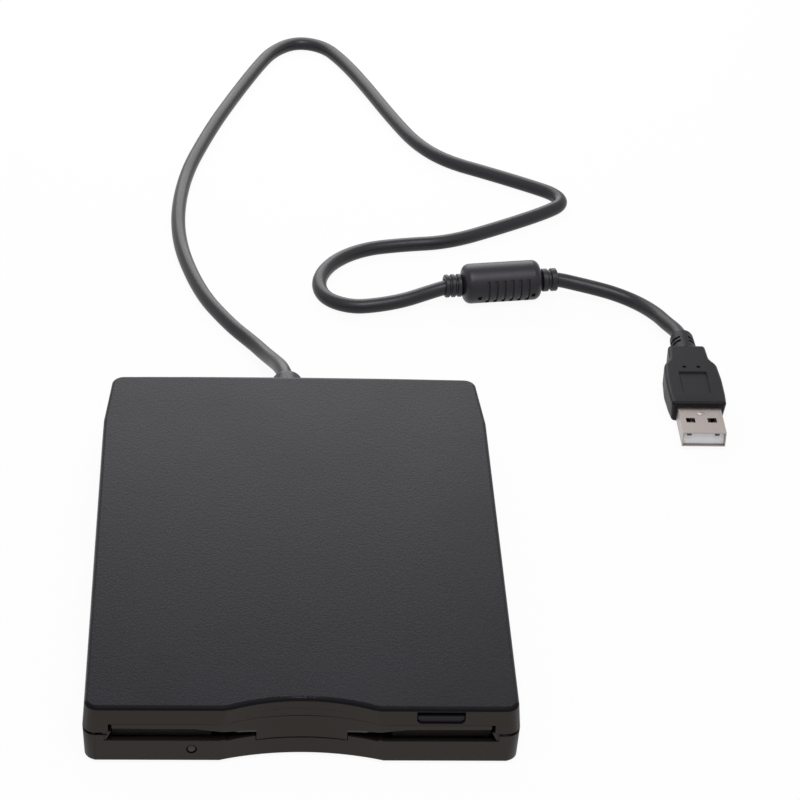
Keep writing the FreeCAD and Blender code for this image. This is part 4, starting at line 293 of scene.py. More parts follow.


# %% [markdown]
# ## Black plastics
# The case is ABS with a fine leather grain, slightly blue on top. The front
# faces take a lighter, warmer copy of the same plastic with a stronger shine,
# as painted light. A darker, duller copy is painted shade along the top's
# front edge and in the joint's step, and a lighter copy is painted light on
# the flap's carrier deep in the slot. The lead is glossier and softer, and
# the mouldings on it have a satin skin. Black plastic gets its level less
# from its colour than from its highlights, so each row names how strong they
# are and how they are tinted.

# %% Plastics and rubber
PLASTIC_DRIFT, PLASTIC_PATCHES = 0.12, 45.0
PLASTICS = {  # colour, roughness, pebbles per metre, depth of the grain, shine, its tint
    "case_black": ((0.0075, 0.0068, 0.0095), (0.30, 0.37), 1250.0, 0.00002, 0.12,
                   (0.95, 0.89, 1.0)),
    # The front's plastic is a lighter, warmer, shinier copy of the case's: painted light on the front
    # faces.
    "front_black": ((0.0105, 0.0084, 0.0072), (0.34, 0.42), 1400.0, 0.000015, 0.31,
                    (1.0, 0.91, 0.86)),
    # The edge plastic is a darker, duller copy: painted shade on the top's front edge and in the joint's
    # step.
    "painted_shade_black": ((0.006, 0.0056, 0.0075), (0.45, 0.50), 1250.0, 0.00001, 0.05),
    # The slot plastic is a lighter copy of the black: painted light on the flap's carrier in the slot's
    # shade.
    "slot_painted_light": ((0.03, 0.026, 0.024), (0.45, 0.55), 1400.0, 0.00001),
    "button_black": ((0.009, 0.0083, 0.010), (0.34, 0.42), 2200.0, 0.00001, 0.20,
                     (0.95, 0.9, 1.0)),
    "plug_black": ((0.009, 0.0082, 0.010), (0.40, 0.48), 1800.0, 0.000012, 0.12,
                   (0.96, 0.91, 1.0)),
    "cable_black": ((0.008, 0.0073, 0.0085), (0.32, 0.40), 1500.0, 0.000012, 0.34,
                    (0.97, 0.94, 1.0)),
    "ferrite_black": ((0.010, 0.0090, 0.011), (0.34, 0.42), 1700.0, 0.000012, 0.34,
                      (0.96, 0.92, 1.0)),
    "foot_rubber": ((0.03, 0.03, 0.032), (0.75, 0.85), 2600.0, 0.00004),
}


def grained_plastic(name, colour, rough, pebbles, depth, shine=0.5, glint=(1, 1, 1)):
    """Moulded plastic with an etched grain."""
    material, tree, shader, _ = start_material(
        name, colour, PLASTIC_DRIFT, PLASTIC_PATCHES, rough, Specular_IOR_Level=shine,
        Specular_Tint=(*glint, 1))
    grain = place_group(tree, grain_group, Pebbles_per_metre=pebbles)
    add_bump(tree, shader, grain.outputs["Height"], depth)
    return material


add_finishes(grained_plastic, PLASTICS)

# %% Dust on the case
DUST_COLOUR, DUST_AMOUNT = (0.5, 0.48, 0.46, 1), 0.02


def lay_dust(material):
    """Lay sparse pale specks of dust over a material's colour."""
    tree = material.node_tree
    shader = tree.nodes["Principled BSDF"]
    below = shader.inputs["Base Color"].links[0].from_socket
    specks = place_group(tree, dust_group).outputs["Specks"]
    share = calculate(tree, "MULTIPLY", specks, DUST_AMOUNT)
    feed(tree, shader, {"Base Color": blend(tree, share, below, DUST_COLOUR)})


lay_dust(FINISHES["case_black"])

# %% [markdown]
# ## Metals
# Pressed steel has a zinc coat with a soft spangle, ground steel has fine
# lines, and spring wire is smooth and bright. A metal's colour goes into
# Base Color, and its lines into the roughness and a very low bump.

# %% Metals
METAL_DRIFT, METAL_PATCHES, LINE_DEPTH = 0.1, 120.0, 0.000004
ALONG_X = (60.0, 2500.0, 2500.0)
ALONG_Y = (2500.0, 60.0, 2500.0)
ALONG_Z = (2500.0, 2500.0, 60.0)
METALS = {  # colour, roughness, direction of the lines
    "pressed_steel": ((0.62, 0.63, 0.64), (0.28, 0.42), ALONG_X),
    "ground_steel": ((0.58, 0.58, 0.58), (0.16, 0.28), ALONG_Y),
    "spring_steel": ((0.50, 0.50, 0.50), (0.20, 0.30), ALONG_Y),
    "rotor_steel": ((0.55, 0.55, 0.56), (0.22, 0.34), ALONG_X),
    "stator_steel": ((0.30, 0.31, 0.33), (0.35, 0.50), ALONG_Z),
    "motor_can": ((0.66, 0.66, 0.66), (0.22, 0.34), ALONG_Y),
    "plated_screws": ((0.70, 0.69, 0.66), (0.24, 0.34), ALONG_X),
    "black_screws": ((0.06, 0.06, 0.065), (0.35, 0.45), ALONG_X),
    "bronze_bush": ((0.48, 0.31, 0.15), (0.35, 0.50), ALONG_Z),
    "copper_wire": ((0.72, 0.30, 0.13), (0.22, 0.32), ALONG_Z),
    "plug_steel": ((0.36, 0.315, 0.30), (0.24, 0.36), ALONG_Y),
    "contact_gold": ((0.86, 0.62, 0.26), (0.18, 0.28), ALONG_Y),
}


def lined_metal(name, colour, rough, stretch):
    """Metal with fine parallel lines."""
    material, tree, shader, _ = start_material(name, colour, METAL_DRIFT, METAL_PATCHES, rough,
                                               Metallic=1.0)
    lines = place_group(tree, line_group, Stretch=stretch).outputs["Lines"]
    feed(tree, shader, {"Roughness": rescale(tree, lines, *rough)})
    add_bump(tree, shader, lines, LINE_DEPTH)
    return material


add_finishes(lined_metal, METALS)

# %% [markdown]
# ## Boards, chips and small mouldings
# The solder mask of a board is a thin green lacquer over copper tracks, so
# its colour steps between two greens along a track pattern. A flat lead is a
# row of conductors under a clear film. Chip bodies are dull epoxy with fine
# filler specks. A Brick and a Wave texture give the patterns, because they
# repeat as evenly as the real tracks do.

# %% Boards and mouldings
LACQUER, PALE_LACQUER, TRACKS = (0.012, 0.10, 0.035), (0.016, 0.13, 0.045), (0.03, 0.20, 0.07)
FILM, CONDUCTORS = (0.55, 0.42, 0.22), (0.72, 0.62, 0.45)
SMALL_MOULDINGS = {  # colour, roughness, pebbles per metre, depth of the grain
    "chip_black": ((0.015, 0.015, 0.016), (0.55, 0.65), 4000.0, 0.00001),
    "switch_white": ((0.70, 0.69, 0.64), (0.40, 0.50), 2500.0, 0.00001),
    "carriage_grey": ((0.10, 0.10, 0.11), (0.45, 0.55), 2500.0, 0.00001),
    "head_ceramic": ((0.55, 0.53, 0.50), (0.15, 0.22), 3000.0, 0.000005),
    "magnet": ((0.05, 0.048, 0.05), (0.50, 0.60), 3500.0, 0.00001),
    "wire_insulation": ((0.45, 0.05, 0.04), (0.35, 0.45), 2500.0, 0.00001),
    "ferrite_ceramic": ((0.04, 0.04, 0.042), (0.50, 0.60), 3000.0, 0.00001),
    "tongue_white": ((0.80, 0.79, 0.82), (0.35, 0.45), 2500.0, 0.000005),
    "led_body": ((0.30, 0.42, 0.30), (0.30, 0.40), 2500.0, 0.00001),
}


def make_board_material():
    """Green lacquer with paler tracks under it."""
    material, tree, shader, tint = start_material("board green", LACQUER, 0.2, 90.0, (0.25, 0.35))
    tracks = add_node(tree, "TexBrick", {
        "Vector": object_place(tree), "Color1": (*LACQUER, 1), "Color2": (*PALE_LACQUER, 1),
        "Mortar": (*TRACKS, 1), "Scale": 260, "Mortar Size": 0.05})
    colour = blend(tree, 0.6, tint.outputs["Colour"], tracks.outputs["Color"])
    feed(tree, shader, {"Base Color": colour})
    add_bump(tree, shader, tracks.outputs["Fac"], 0.00002)
    return material


def make_ribbon_material():
    """A flat lead: parallel conductors under a clear film."""
    material, tree, shader, tint = start_material("ribbon", FILM, 0.1, 60.0, (0.25, 0.35))
    strands = add_node(tree, "TexWave", {"Vector": object_place(tree), "Scale": 160},
                       bands_direction="X").outputs["Fac"]
    colour = blend(tree, strands, tint.outputs["Colour"], (*CONDUCTORS, 1))
    feed(tree, shader, {"Base Color": colour})
    add_bump(tree, shader, strands, 0.00008)
    return material


FINISHES["board_green"] = make_board_material()
FINISHES["ribbon"] = make_ribbon_material()
add_finishes(grained_plastic, SMALL_MOULDINGS)

# %% [markdown]
# ## The indicator light
# The lamp in the front is a small smoked lens over a light guide. It could
# be glass with a transmission, but it is so dark that only its highlight
# shows, so a dark plastic with a faint clouding of its roughness does it.

# %% Smoked lens
FINISHES["light_clear"] = start_material(
    "light clear", (0.03, 0.028, 0.024), 0.1, 400.0, (0.28, 0.36), IOR=1.49,
    Specular_IOR_Level=0.3)[0]
print("lens ready")

# %% [markdown]
# ## Finishes on the frame's own pieces
# Each piece of the frame belongs to a material slot in its record. One loop
# dresses every node by its slot's name, so none is left with a bare colour.
# The ferrite's ceramic core is made of something else than its slot says,
# and the flap's carrier deep in the slot takes a lighter black plastic, as
# painted light in the slot's shade.

# %% Dress the nodes
slot_of = {part["node"]: part["material_slot"] for part in frame["record"]["subparts"]}
for node, thing in frame["nodes"].items():
    thing.data.materials.clear()
    thing.data.materials.append(FINISHES[slot_of[node]])
frame["nodes"]["ferrite_core"].data.materials[0] = FINISHES["ferrite_ceramic"]
# The flap's carrier takes the lighter slot plastic: painted light deep in the slot's shade.
frame["nodes"]["slot_flap"].data.materials[0] = FINISHES["slot_painted_light"]
print(f"dressed {len(slot_of)} nodes")

# %% [markdown]
# ## The lead
# The lead is one length of round cable. It leaves the rear of the case,
# comes down to the table, runs out in a long S with a hooked turn on the
# right and a round loop back, passes through the ferrite moulding and ends
# in the plug. It could be swept as a mesh, but a curve stays easy to route
# and its length can be measured. A NURBS curve of order 3 follows the same
# points as the frame's tube, and its bevel makes the round skin. Near the
# mouldings a few points are set so that it sags a little before it enters
# them.

# %% Route of the lead
CABLE_RADIUS = 2.15 * MM
ON_TABLE = 2.2
ROUTE_TO_FERRITE = [
    (-2.2, 79, 9.2), (-2.2, 84.0, 9.2), (-3.4, 90.2, 7.9), (-4.9, 96.4, 5.6),
    (-7.5, 103.9, 3.3), (-11.3, 112.0, ON_TABLE), (-17.6, 121.1, ON_TABLE),
    (-27, 140, ON_TABLE), (-34.3, 172.4, ON_TABLE), (-32.8, 207.2, ON_TABLE),
    (-24.7, 239.2, ON_TABLE), (-17.6, 261.2, ON_TABLE), (-9.0, 285.3, ON_TABLE),
    (-3.8, 297.0, ON_TABLE), (4.1, 303.9, ON_TABLE), (13.4, 300.9, ON_TABLE),
    (19.3, 290.5, ON_TABLE), (25.4, 275.8, ON_TABLE), (34.8, 248.9, ON_TABLE),
    (41.6, 232.3, ON_TABLE), (50.4, 221.2, ON_TABLE), (63.9, 213.5, ON_TABLE),
    (76.6, 205.6, ON_TABLE), (83.7, 200.6, ON_TABLE), (85.5, 194.6, ON_TABLE),
    (79.3, 189.0, ON_TABLE), (65.5, 180, ON_TABLE), (48.7, 170.2, ON_TABLE),
    (34, 168.3, ON_TABLE), (21.8, 165.3, ON_TABLE), (12.5, 157.3, ON_TABLE),
    (8.0, 146.4, ON_TABLE), (9.8, 136.4, 2.3), (17.6, 131.2, 2.6), (25.7, 131.7, 3.1),
    (33.6, 133.7, 3.7), (40.6, 136.9, 4.5), (45.6, 138.6, 5.3), (50.0, 139.4, 5.9),
]
ROUTE_TO_PLUG = [
    (75.0, 143.0, 5.9), (79.2, 143.4, 5.6), (84.4, 142.7, 4.7), (90.5, 140.8, 4.2),
    (95.9, 139.3, 3.4), (102.2, 136.1, 2.4), (107.0, 129.9, 2.5), (109.5, 123.6, 3.0), (112.3, 117.2, 3.7),
    (112.6, 113.2, 3.7),
]
route = [Vector(point) * MM for point in ROUTE_TO_FERRITE + ROUTE_TO_PLUG]
ferrite_in = Vector((45.3, 138.8, 5.9)) * MM
ferrite_out = Vector((79.2, 143.6, 5.9)) * MM
ferrite_axis = (ferrite_out - ferrite_in).normalized()
print(len(route), "control points")

# %% The lead's curve


def make_lead():
    """A round cable on a smooth curve through the route's control polygon."""
    curve = bpy.data.curves.new("usb_lead", "CURVE")
    curve.dimensions = "3D"
    curve.resolution_u = 12
    curve.bevel_depth = CABLE_RADIUS
    curve.bevel_resolution = 8
    curve.use_fill_caps = True
    spline = curve.splines.new("NURBS")
    spline.points.add(len(route) - 1)
    for point, place in zip(spline.points, route):
        point.co = (*place, 1)
    spline.order_u = 3
    spline.use_endpoint_u = True
    lead = bpy.data.objects.new("usb_lead", curve)
    scene.collection.objects.link(lead)
    curve.materials.append(FINISHES["cable_black"])
    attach(lead, "base")
    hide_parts("usb_cable")
    return lead


lead = make_lead()

# %% [markdown]
# ## Pieces from a bmesh
# A new piece is worked in a bmesh, then handed to one helper that makes it
# an object, smooths it up to a crease angle, gives it its finish and sets
# it on the body that it rides. A piece that follows one of the frame's
# starts from a merged copy of it, because the frame's meshes are loose
# triangles.

# %% Finish a piece
CREASE = math.radians(32)
TOUCHING = 0.001 * MM


def finish_piece(shape, name, slot, replaces=(), body="base", crease=CREASE):
    """Make an object of a bmesh, shade it and seat it on its body."""
    bmesh.ops.remove_doubles(shape, verts=shape.verts, dist=TOUCHING)
    bmesh.ops.recalc_face_normals(shape, faces=shape.faces)
    open_edges = sum(1 for edge in shape.edges if not edge.is_manifold)
    mesh = bpy.data.meshes.new(name)
    shape.to_mesh(mesh)
    shape.free()
    mesh.shade_smooth()
    mesh.set_sharp_from_angle(angle=crease)
    mesh.materials.append(FINISHES[slot])
    piece = bpy.data.objects.new(name, mesh)
    scene.collection.objects.link(piece)
    evened = piece.modifiers.new("flat faces stay flat", "WEIGHTED_NORMAL")
    evened.keep_sharp = True
    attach(piece, body)
    if replaces:
        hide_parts(*replaces)
    print(f"{name}: {len(mesh.polygons)} faces, {open_edges} open edges")
    return piece


# %% Helpers for bmesh work
COPY_MERGE = 0.002 * MM
FLAT_WITHIN = math.radians(0.5)


def copy_of(node):
    """A bmesh of a node's mesh, with its triangles joined and flat patches made whole."""
    shape = bmesh.new()
    shape.from_mesh(frame["nodes"][node].data)
    bmesh.ops.remove_doubles(shape, verts=shape.verts, dist=COPY_MERGE)
    bmesh.ops.dissolve_limit(shape, angle_limit=FLAT_WITHIN, verts=shape.verts, edges=shape.edges)
    return shape


def add_points(shape, places):
    """New vertices at places in millimetres."""
    return [shape.verts.new([value * MM for value in place]) for place in places]


def add_chain(shape, places, closed=False):
    """New vertices, each joined to the next by an edge."""
    verts = add_points(shape, places)
    nexts = verts[1:] + verts[:1] if closed else verts[1:]
    return verts, [shape.edges.new(pair) for pair in zip(verts, nexts)]


def new_verts(made):
    """The vertices among what an operator made."""
    return [item for item in made["geom"] if isinstance(item, bmesh.types.BMVert)]


def soften(shape, edges, offset, segments=2):
    """Round edges of a shape by an offset in millimetres."""
    bmesh.ops.bevel(shape, geom=edges, offset=offset * MM, offset_type="OFFSET",
                    affect="EDGES", segments=segments, profile=0.5, material=-1,
                    clamp_overlap=True)


def score(shape, faces, point, normal):
    """Cut faces along a plane and leave them joined."""
    geom = dict.fromkeys(item for face in faces for item in (face, *face.edges, *face.verts))
    bmesh.ops.bisect_plane(shape, geom=list(geom), plane_co=point, plane_no=normal, dist=1e-7)


def part_patch(shape, faces):
    """Part a patch of faces from its surface, with walls to it; returns its vertices."""
    verts = new_verts(bmesh.ops.extrude_face_region(shape, geom=faces))
    bmesh.ops.delete(shape, geom=faces, context="FACES_ONLY")
    return verts


# %% [markdown]
# ## The case halves
# The case is two injection-moulded halves that meet in a fine dark joint.
# The rear wall bows out a little, and the lower walls lean in, so that the
# half leaves its mould. The joint could be a dark line in the material alone,
# but a real step holds its shadow from every side, so the lower half's walls
# are scored below the rim, and the band above the score is pushed in. Merged
# copies of the frame's covers take these changes and stand for them. A few
# faces take other finishes: the front a lighter plastic as painted light, and
# the step and the top's front edge a darker one as painted shade.

# %% Walls of the case
SKIN_X, SKIN_Y = 49.5, 69.5
SEAM_LEVEL = 9.2
JOINT_HEIGHT, JOINT_DEPTH = 0.8, 0.9
REAR_FROM, REAR_END, REAR_DRAW, REAR_BOW, BOW_HALF = 20.0, 71.0, 1.3, 0.7, 51.0
SIDE_FROM, SIDE_LEAN = 49.0, 0.45


def faces_out(face):
    """True for an upright face that looks away from the middle of the case."""
    middle = face.calc_center_median()
    normal = face.normal
    return abs(normal.z) < 0.3 and normal.x * middle.x + normal.y * middle.y > 0


def is_outside(face):
    """True for a face of the outer skin's upright walls."""
    middle = face.calc_center_median() / MM
    return faces_out(face) and (abs(middle.x) > SKIN_X or abs(middle.y) > SKIN_Y)


def cut_joint(shape):
    """Sink a narrow step round the lower half's rim, so that the joint reads as a dark line."""
    low, high = (SEAM_LEVEL - JOINT_HEIGHT) * MM, SEAM_LEVEL * MM
    score(shape, [face for face in shape.faces if faces_out(face)], (0, 0, low), (0, 0, 1))
    ring = [face for face in shape.faces
            if is_outside(face) and low < face.calc_center_median().z < high]
    for vert in part_patch(shape, ring):
        outward = Vector((0, 0, 0))
        for face in vert.link_faces:
            if faces_out(face):
                outward += face.normal
        outward.z = 0
        if outward.length > 0:
            bmesh.ops.translate(shape, verts=[vert], vec=-outward.normalized() * JOINT_DEPTH * MM)
    return len(ring)


def bow_rear(shape):
    """Draw the rear wall out into a slight bow."""
    for vert in shape.verts:
        place = vert.co / MM
        if place.y > REAR_FROM:
            share = (place.y - REAR_FROM) / (REAR_END - REAR_FROM)
            bow = REAR_BOW * max(0, 1 - (place.x / BOW_HALF) ** 2) * share ** 4
            vert.co.y += (REAR_DRAW * share + bow) * MM


def taper_sides(shape):
    """Let the lower half's side walls lean in towards the table."""
    for vert in shape.verts:
        place = vert.co / MM
        if abs(place.x) > SIDE_FROM and place.z < SEAM_LEVEL:
            lean = SIDE_LEAN * (1 - place.z / SEAM_LEVEL)
            vert.co.x -= math.copysign(lean * MM, place.x)


# %% Covers with a joint line
CASE_SKIN, FRONT_PAINTED_LIGHT_SKIN, PAINTED_SHADE_SKIN = 0, 1, 2
FRONT_FROM, TOP_EDGE_FROM = -66.3, 15.4
SLOT_LOW, SLOT_HIGH = 4.5, 9.3
GAP_HALF, GAP_FRONT = 46.0, -60.0
SILL_X, SILL_Y, SILL_Z, SILL_ROUNDING = (26.4, 38.8), -70.2, (11.6, 12.6), 0.3


def on_window_sill(edge):
    """True for the outer lower edge of the button's window."""
    places = [vert.co / MM for vert in edge.verts]
    return all(SILL_X[0] < place.x < SILL_X[1] and place.y < SILL_Y
               and SILL_Z[0] < place.z < SILL_Z[1] for place in places)


def skin_of(face, lower):
    """The finish that a face of a case half takes: painted light on the front, painted shade on the step
    and the top's front edge.
    """
    middle = face.calc_center_median() / MM
    in_gap = abs(middle.x) < GAP_HALF and middle.y < GAP_FRONT
    in_step = SEAM_LEVEL - JOINT_HEIGHT - 0.02 < middle.z < SEAM_LEVEL
    # The joint's step takes the darker plastic: painted shade in the step.
    if lower and in_step and not in_gap:
        return PAINTED_SHADE_SKIN
    if middle.y > FRONT_FROM:
        return CASE_SKIN
    # The rounded top front edge takes the darker plastic: painted shade along it.
    if middle.z > TOP_EDGE_FROM and 0.15 < face.normal.z < 0.985 and face.normal.y < -0.1:
        return PAINTED_SHADE_SKIN
    # The front faces and the upward faces of the slot's floor take the lighter front plastic: painted
    # light.
    in_slot = face.normal.z > 0.5 and SLOT_LOW < middle.z < SLOT_HIGH
    return FRONT_PAINTED_LIGHT_SKIN if face.normal.y < -0.5 or in_slot else CASE_SKIN


def make_cover(node, name, lower):
    """One half of the case."""
    shape = copy_of(node)
    bow_rear(shape)
    if lower:
        print(name, "joint faces:", cut_joint(shape))
        taper_sides(shape)
    else:
        soften(shape, [edge for edge in shape.edges if on_window_sill(edge)], SILL_ROUNDING)
    shape.normal_update()
    for face in shape.faces:
        face.material_index = skin_of(face, lower)
    cover = finish_piece(shape, name, "case_black", [node])
    # The lighter front plastic is painted light; the darker edge plastic is painted shade.
    for slot in ("front_black", "painted_shade_black"):
        cover.data.materials.append(FINISHES[slot])
    return cover


upper_case = make_cover("top_cover", "upper_case", lower=False)
lower_case = make_cover("bottom_cover", "lower_case", lower=True)

# %% [markdown]
# ## The web over the flap's bearing
# Behind the front wall, the flap's round bearing runs very near the skin in
# the middle of the scoop, and in a real moulding a thin web is left there.
# It could be joined to the cover, but a narrow strip bent along the scoop
# and given a thickness is simpler and closes the same hole.

# %% Bearing web
SCOOP = [(-13.2, -68.92), (-10.8, -68.28), (-8, -67.72), (-4, -67.2), (0, -67.03),
         (4, -67.2), (8, -67.72), (10.8, -68.28), (13.2, -68.92)]
WEB_LOW, WEB_HIGH, WEB_THICKNESS = 12.1, 13.35, 0.25
WEB_AHEAD, WEB_LEAN = 0.03, 0.08


def make_web():
    """A thin bent strip that is flush with the scoop's wall."""
    shape = bmesh.new()
    _, edges = add_chain(shape, [(x, y - WEB_AHEAD, WEB_LOW) for x, y in SCOOP])
    tops = new_verts(bmesh.ops.extrude_edge_only(shape, edges=edges))
    rise = (WEB_HIGH - WEB_LOW) * MM
    bmesh.ops.translate(shape, verts=tops, vec=(0, WEB_LEAN * rise, rise))
    backs = new_verts(bmesh.ops.extrude_face_region(shape, geom=list(shape.faces)))
    bmesh.ops.translate(shape, verts=backs, vec=(0, WEB_THICKNESS * MM, 0))
    # The web takes the lighter front plastic: painted light, as on the front.
    return finish_piece(shape, "bearing_web", "front_black")


bearing_web = make_web()

# %% [markdown]
# ## The flap behind the slot
# The flap closes the slot. Its outer skin follows the scoop and lies flush
# with the front, so only a fine joint shows above it, and its lower edge is
# rounded where it leads a disk in. A bevel would bulge where the foot steps
# up from the tongue to the wings, so the rounding is part of the section,
# and the skin is drawn along the slot from section to section. The frame's
# flap stays behind it as the carrier.

# %% Flap skin
FLAP_TOP, TOP_DIP, DIP_REACH = 11.43, 0.15, 14
SKIN_DEPTH, SKIN_BACK = 0.3, -67.7
WING_FOOT_FROM, WING_ROUNDING, TONGUE_ROUNDING, FOOT_STEPS = 7, 0.7, 0.15, 5
TONGUE = [  # x, front at the top, front at the foot, height of the foot
    (0.0, -67.06, -67.57, 5.35), (3.0, -67.16, -67.65, 5.35), (6.3, -67.48, -67.96, 5.35),
    (8.0, -67.74, -68.14, 5.35), (9.6, -68.02, -68.38, 5.35), (10.7, -68.27, -68.55, 5.35),
]
WING = [
    (10.7, -68.27, -68.45, 7.45), (11.7, -68.52, -68.68, 7.6), (12.8, -68.81, -68.95, 7.8),
    (14.0, -69.17, -69.28, 8.0), (15.2, -69.57, -69.64, 8.2), (16.6, -70.04, -70.08, 8.45),
    (18.0, -70.5, -70.52, 8.7), (18.8, -70.69, -70.7, 8.82), (19.8, -70.78, -70.78, 9.0),
    (22.0, -70.8, -70.8, 9.35), (25.0, -70.8, -70.8, 9.75), (44.55, -70.8, -70.8, 9.85),
]


def skin_section(x, top, foot, low):
    """A corner at the top, a quarter round at the foot and two corners behind."""
    back = max(top + SKIN_DEPTH, SKIN_BACK)
    high = FLAP_TOP - TOP_DIP * max(0, 1 - abs(x) / DIP_REACH)
    radius = WING_ROUNDING if low > WING_FOOT_FROM else TONGUE_ROUNDING
    places = [(x, top, high)]
    for step in range(FOOT_STEPS + 1):
        turn = math.pi / 2 * step / FOOT_STEPS
        places.append((x, foot + radius * (1 - math.cos(turn)), low + radius * (1 - math.sin(turn))))
    places += [(x, back, low), (x, back, high)]
    return [Vector(place) * MM for place in places]


def draw_along(shape, sections):
    """Extrude a face from one section to the next."""
    cap = shape.faces.new([shape.verts.new(place) for place in sections[0]])
    for before, places in zip(sections, sections[1:]):
        made = bmesh.ops.extrude_face_region(shape, geom=[cap])
        cap = next(item for item in made["geom"] if isinstance(item, bmesh.types.BMFace))
        for vert in cap.verts:
            nearest = min(range(len(before)),
                          key=lambda index: (vert.co - before[index]).length)
            vert.co = places[nearest]


def make_flap_skin():
    """The flap's outer skin: the tongue in the middle and a wing on each side."""
    shape = bmesh.new()
    across = [(-x, *rest) for x, *rest in reversed(TONGUE[1:])] + TONGUE
    for rows in (across, WING, [(-x, *rest) for x, *rest in WING]):
        draw_along(shape, [skin_section(*row) for row in rows])
    # The skin takes the lighter front plastic: painted light, as on the front.
    return finish_piece(shape, "flap_skin", "front_black", body="flap")


flap_skin = make_flap_skin()

# %% [markdown]
# ## The slot's ends
# At both ends the slot's sides slant in, so that a disk finds its way. The
# slants could be cut into the cover, but two small wedges set into the
# corners leave the cover's mesh clean. Each is a flat outline, extruded.

# %% Slot ends
SLOT_END = [(-46.7, 9.3), (-44.75, 9.3), (-46.3, 5.9), (-46.7, 5.9)]
END_FRONT, END_DEPTH = -70.75, 1.6


def make_slot_ends():
    """A small wedge at each outer end of the slot."""
    shape = bmesh.new()
    for side in (-1, 1):
        verts = add_points(shape, [(-x * side, END_FRONT, z) for x, z in SLOT_END])
        made = bmesh.ops.extrude_face_region(shape, geom=[shape.faces.new(verts)])
        bmesh.ops.translate(shape, verts=new_verts(made), vec=(0, END_DEPTH * MM, 0))
    # The wedges take the lighter front plastic: painted light on the slot's ends.
    return finish_piece(shape, "slot_ends", "front_black")


slot_ends = make_slot_ends()

# %% [markdown]
# ## The eject button and the light
# The button lies a little behind the front, with a dark gap above it. The
# light is a small smoked dome in a round hole. The button is a merged copy
# of the frame's, with its face set back and its rim rounded, so that it
# still fits its window. The dome is round, so it is turned.

# %% Button
BUTTON_FACE, BUTTON_TOP, BUTTON_ROUNDING = -70.2, 13.8, 0.3
CAP_FRONT, CAP_BACK, CAP_TOP_FROM = -69.6, -67.5, 14.5


def make_button():
    """The eject button, set back a little, with a rounded face."""
    shape = copy_of("eject_button")
    for vert in shape.verts:
        if vert.co.y < CAP_FRONT * MM:
            vert.co.y = BUTTON_FACE * MM
        if vert.co.y < CAP_BACK * MM and vert.co.z > CAP_TOP_FROM * MM:
            vert.co.z = BUTTON_TOP * MM
    shape.normal_update()
    rims = [edge for edge in shape.edges
            if all(vert.co.y < (BUTTON_FACE + 0.01) * MM for vert in edge.verts)
            and len({round(face.normal.y, 1) for face in edge.link_faces}) > 1]
    soften(shape, rims, BUTTON_ROUNDING, 3)
    return finish_piece(shape, "button", "button_black", ["eject_button"], body="slider")


button = make_button()

# %% Light
LIGHT_X, LIGHT_Z, LIGHT_STEPS = -25.9, 4.25, 32
LIGHT_OUTLINE = [(-65.5, 0), (-65.5, 1.1), (-70.45, 1.1), (-70.75, 1.0), (-70.9, 0.8),
                 (-71.0, 0.5), (-71.05, 0)]


def make_light():
    """A turned smoked dome on a short stem."""
    shape = bmesh.new()
    verts, edges = add_chain(shape, [(LIGHT_X + radius, place, LIGHT_Z)
                                     for place, radius in LIGHT_OUTLINE])
    bmesh.ops.spin(shape, geom=verts + edges, cent=(LIGHT_X * MM, 0, LIGHT_Z * MM),
                   axis=(0, 1, 0), angle=math.tau, steps=LIGHT_STEPS, use_merge=True)
    return finish_piece(shape, "light_dome", "light_clear", ["light_lens"],
                        crease=math.radians(50))


light_dome = make_light()

# %% [markdown]
# ## The ferrite moulding
# A round plastic barrel covers the ferrite core, and ribbed reliefs run
# from both ends of it onto the lead. It is a turned shape, so its outline is
# drawn once, as radius against length, and spun about the lead. Six short
# grooves and two vents are then pressed into its lower side: the outline
# has a point at each of their edges, so that they are whole rows of faces
# and need no boolean cut.

# %% Outline of the ferrite moulding
RELIEF_IN, BODY_LENGTH, RELIEF_OUT = 5.4, 23.1, 5.2
RELIEF_RADIUS, RELIEF_SAG = 3.4, 0.35
RING_GROOVE, RING_SHARE, RING_EDGE = 0.6, 0.28, 0.25
BODY_RADIUS, BODY_ROUNDING = 5.9, 2.2
BORE_RADIUS = 2.25
GROOVE_COUNT, GROOVE_WIDTH, GROOVE_PITCH, GROOVES_AHEAD = 6, 1.05, 2.4, 1.1
VENT_WIDTH, VENT_FROM_START, VENT_FROM_END = 1.1, 4.2, 2.8


def ringed(length, rings):
    """(length, radius) points of a relief: rounded rings with grooves between them."""
    pitch = length / rings
    points = []
    for index in range(rings):
        low = index * pitch
        high = low + pitch - pitch * RING_SHARE
        points += [(low, RELIEF_RADIUS - RING_GROOVE), (low, RELIEF_RADIUS - RING_EDGE),
                   (low + RING_EDGE, RELIEF_RADIUS), (high - RING_EDGE, RELIEF_RADIUS),
                   (high, RELIEF_RADIUS - RING_EDGE), (high, RELIEF_RADIUS - RING_GROOVE)]
    return points


def quarter_round(centre, radius, begin, steps=6):
    """(length, radius) points along a quarter circle, clockwise."""
    points = []
    for index in range(steps + 1):
        angle = begin - math.pi / 2 * index / steps
        points.append((centre[0] + radius * math.cos(angle), centre[1] + radius * math.sin(angle)))
    return points


def edges_of(places, width):
    """Where strips of a width, centred on places, begin and end."""
    return [place + side * width / 2 for place in places for side in (-1, 1)]


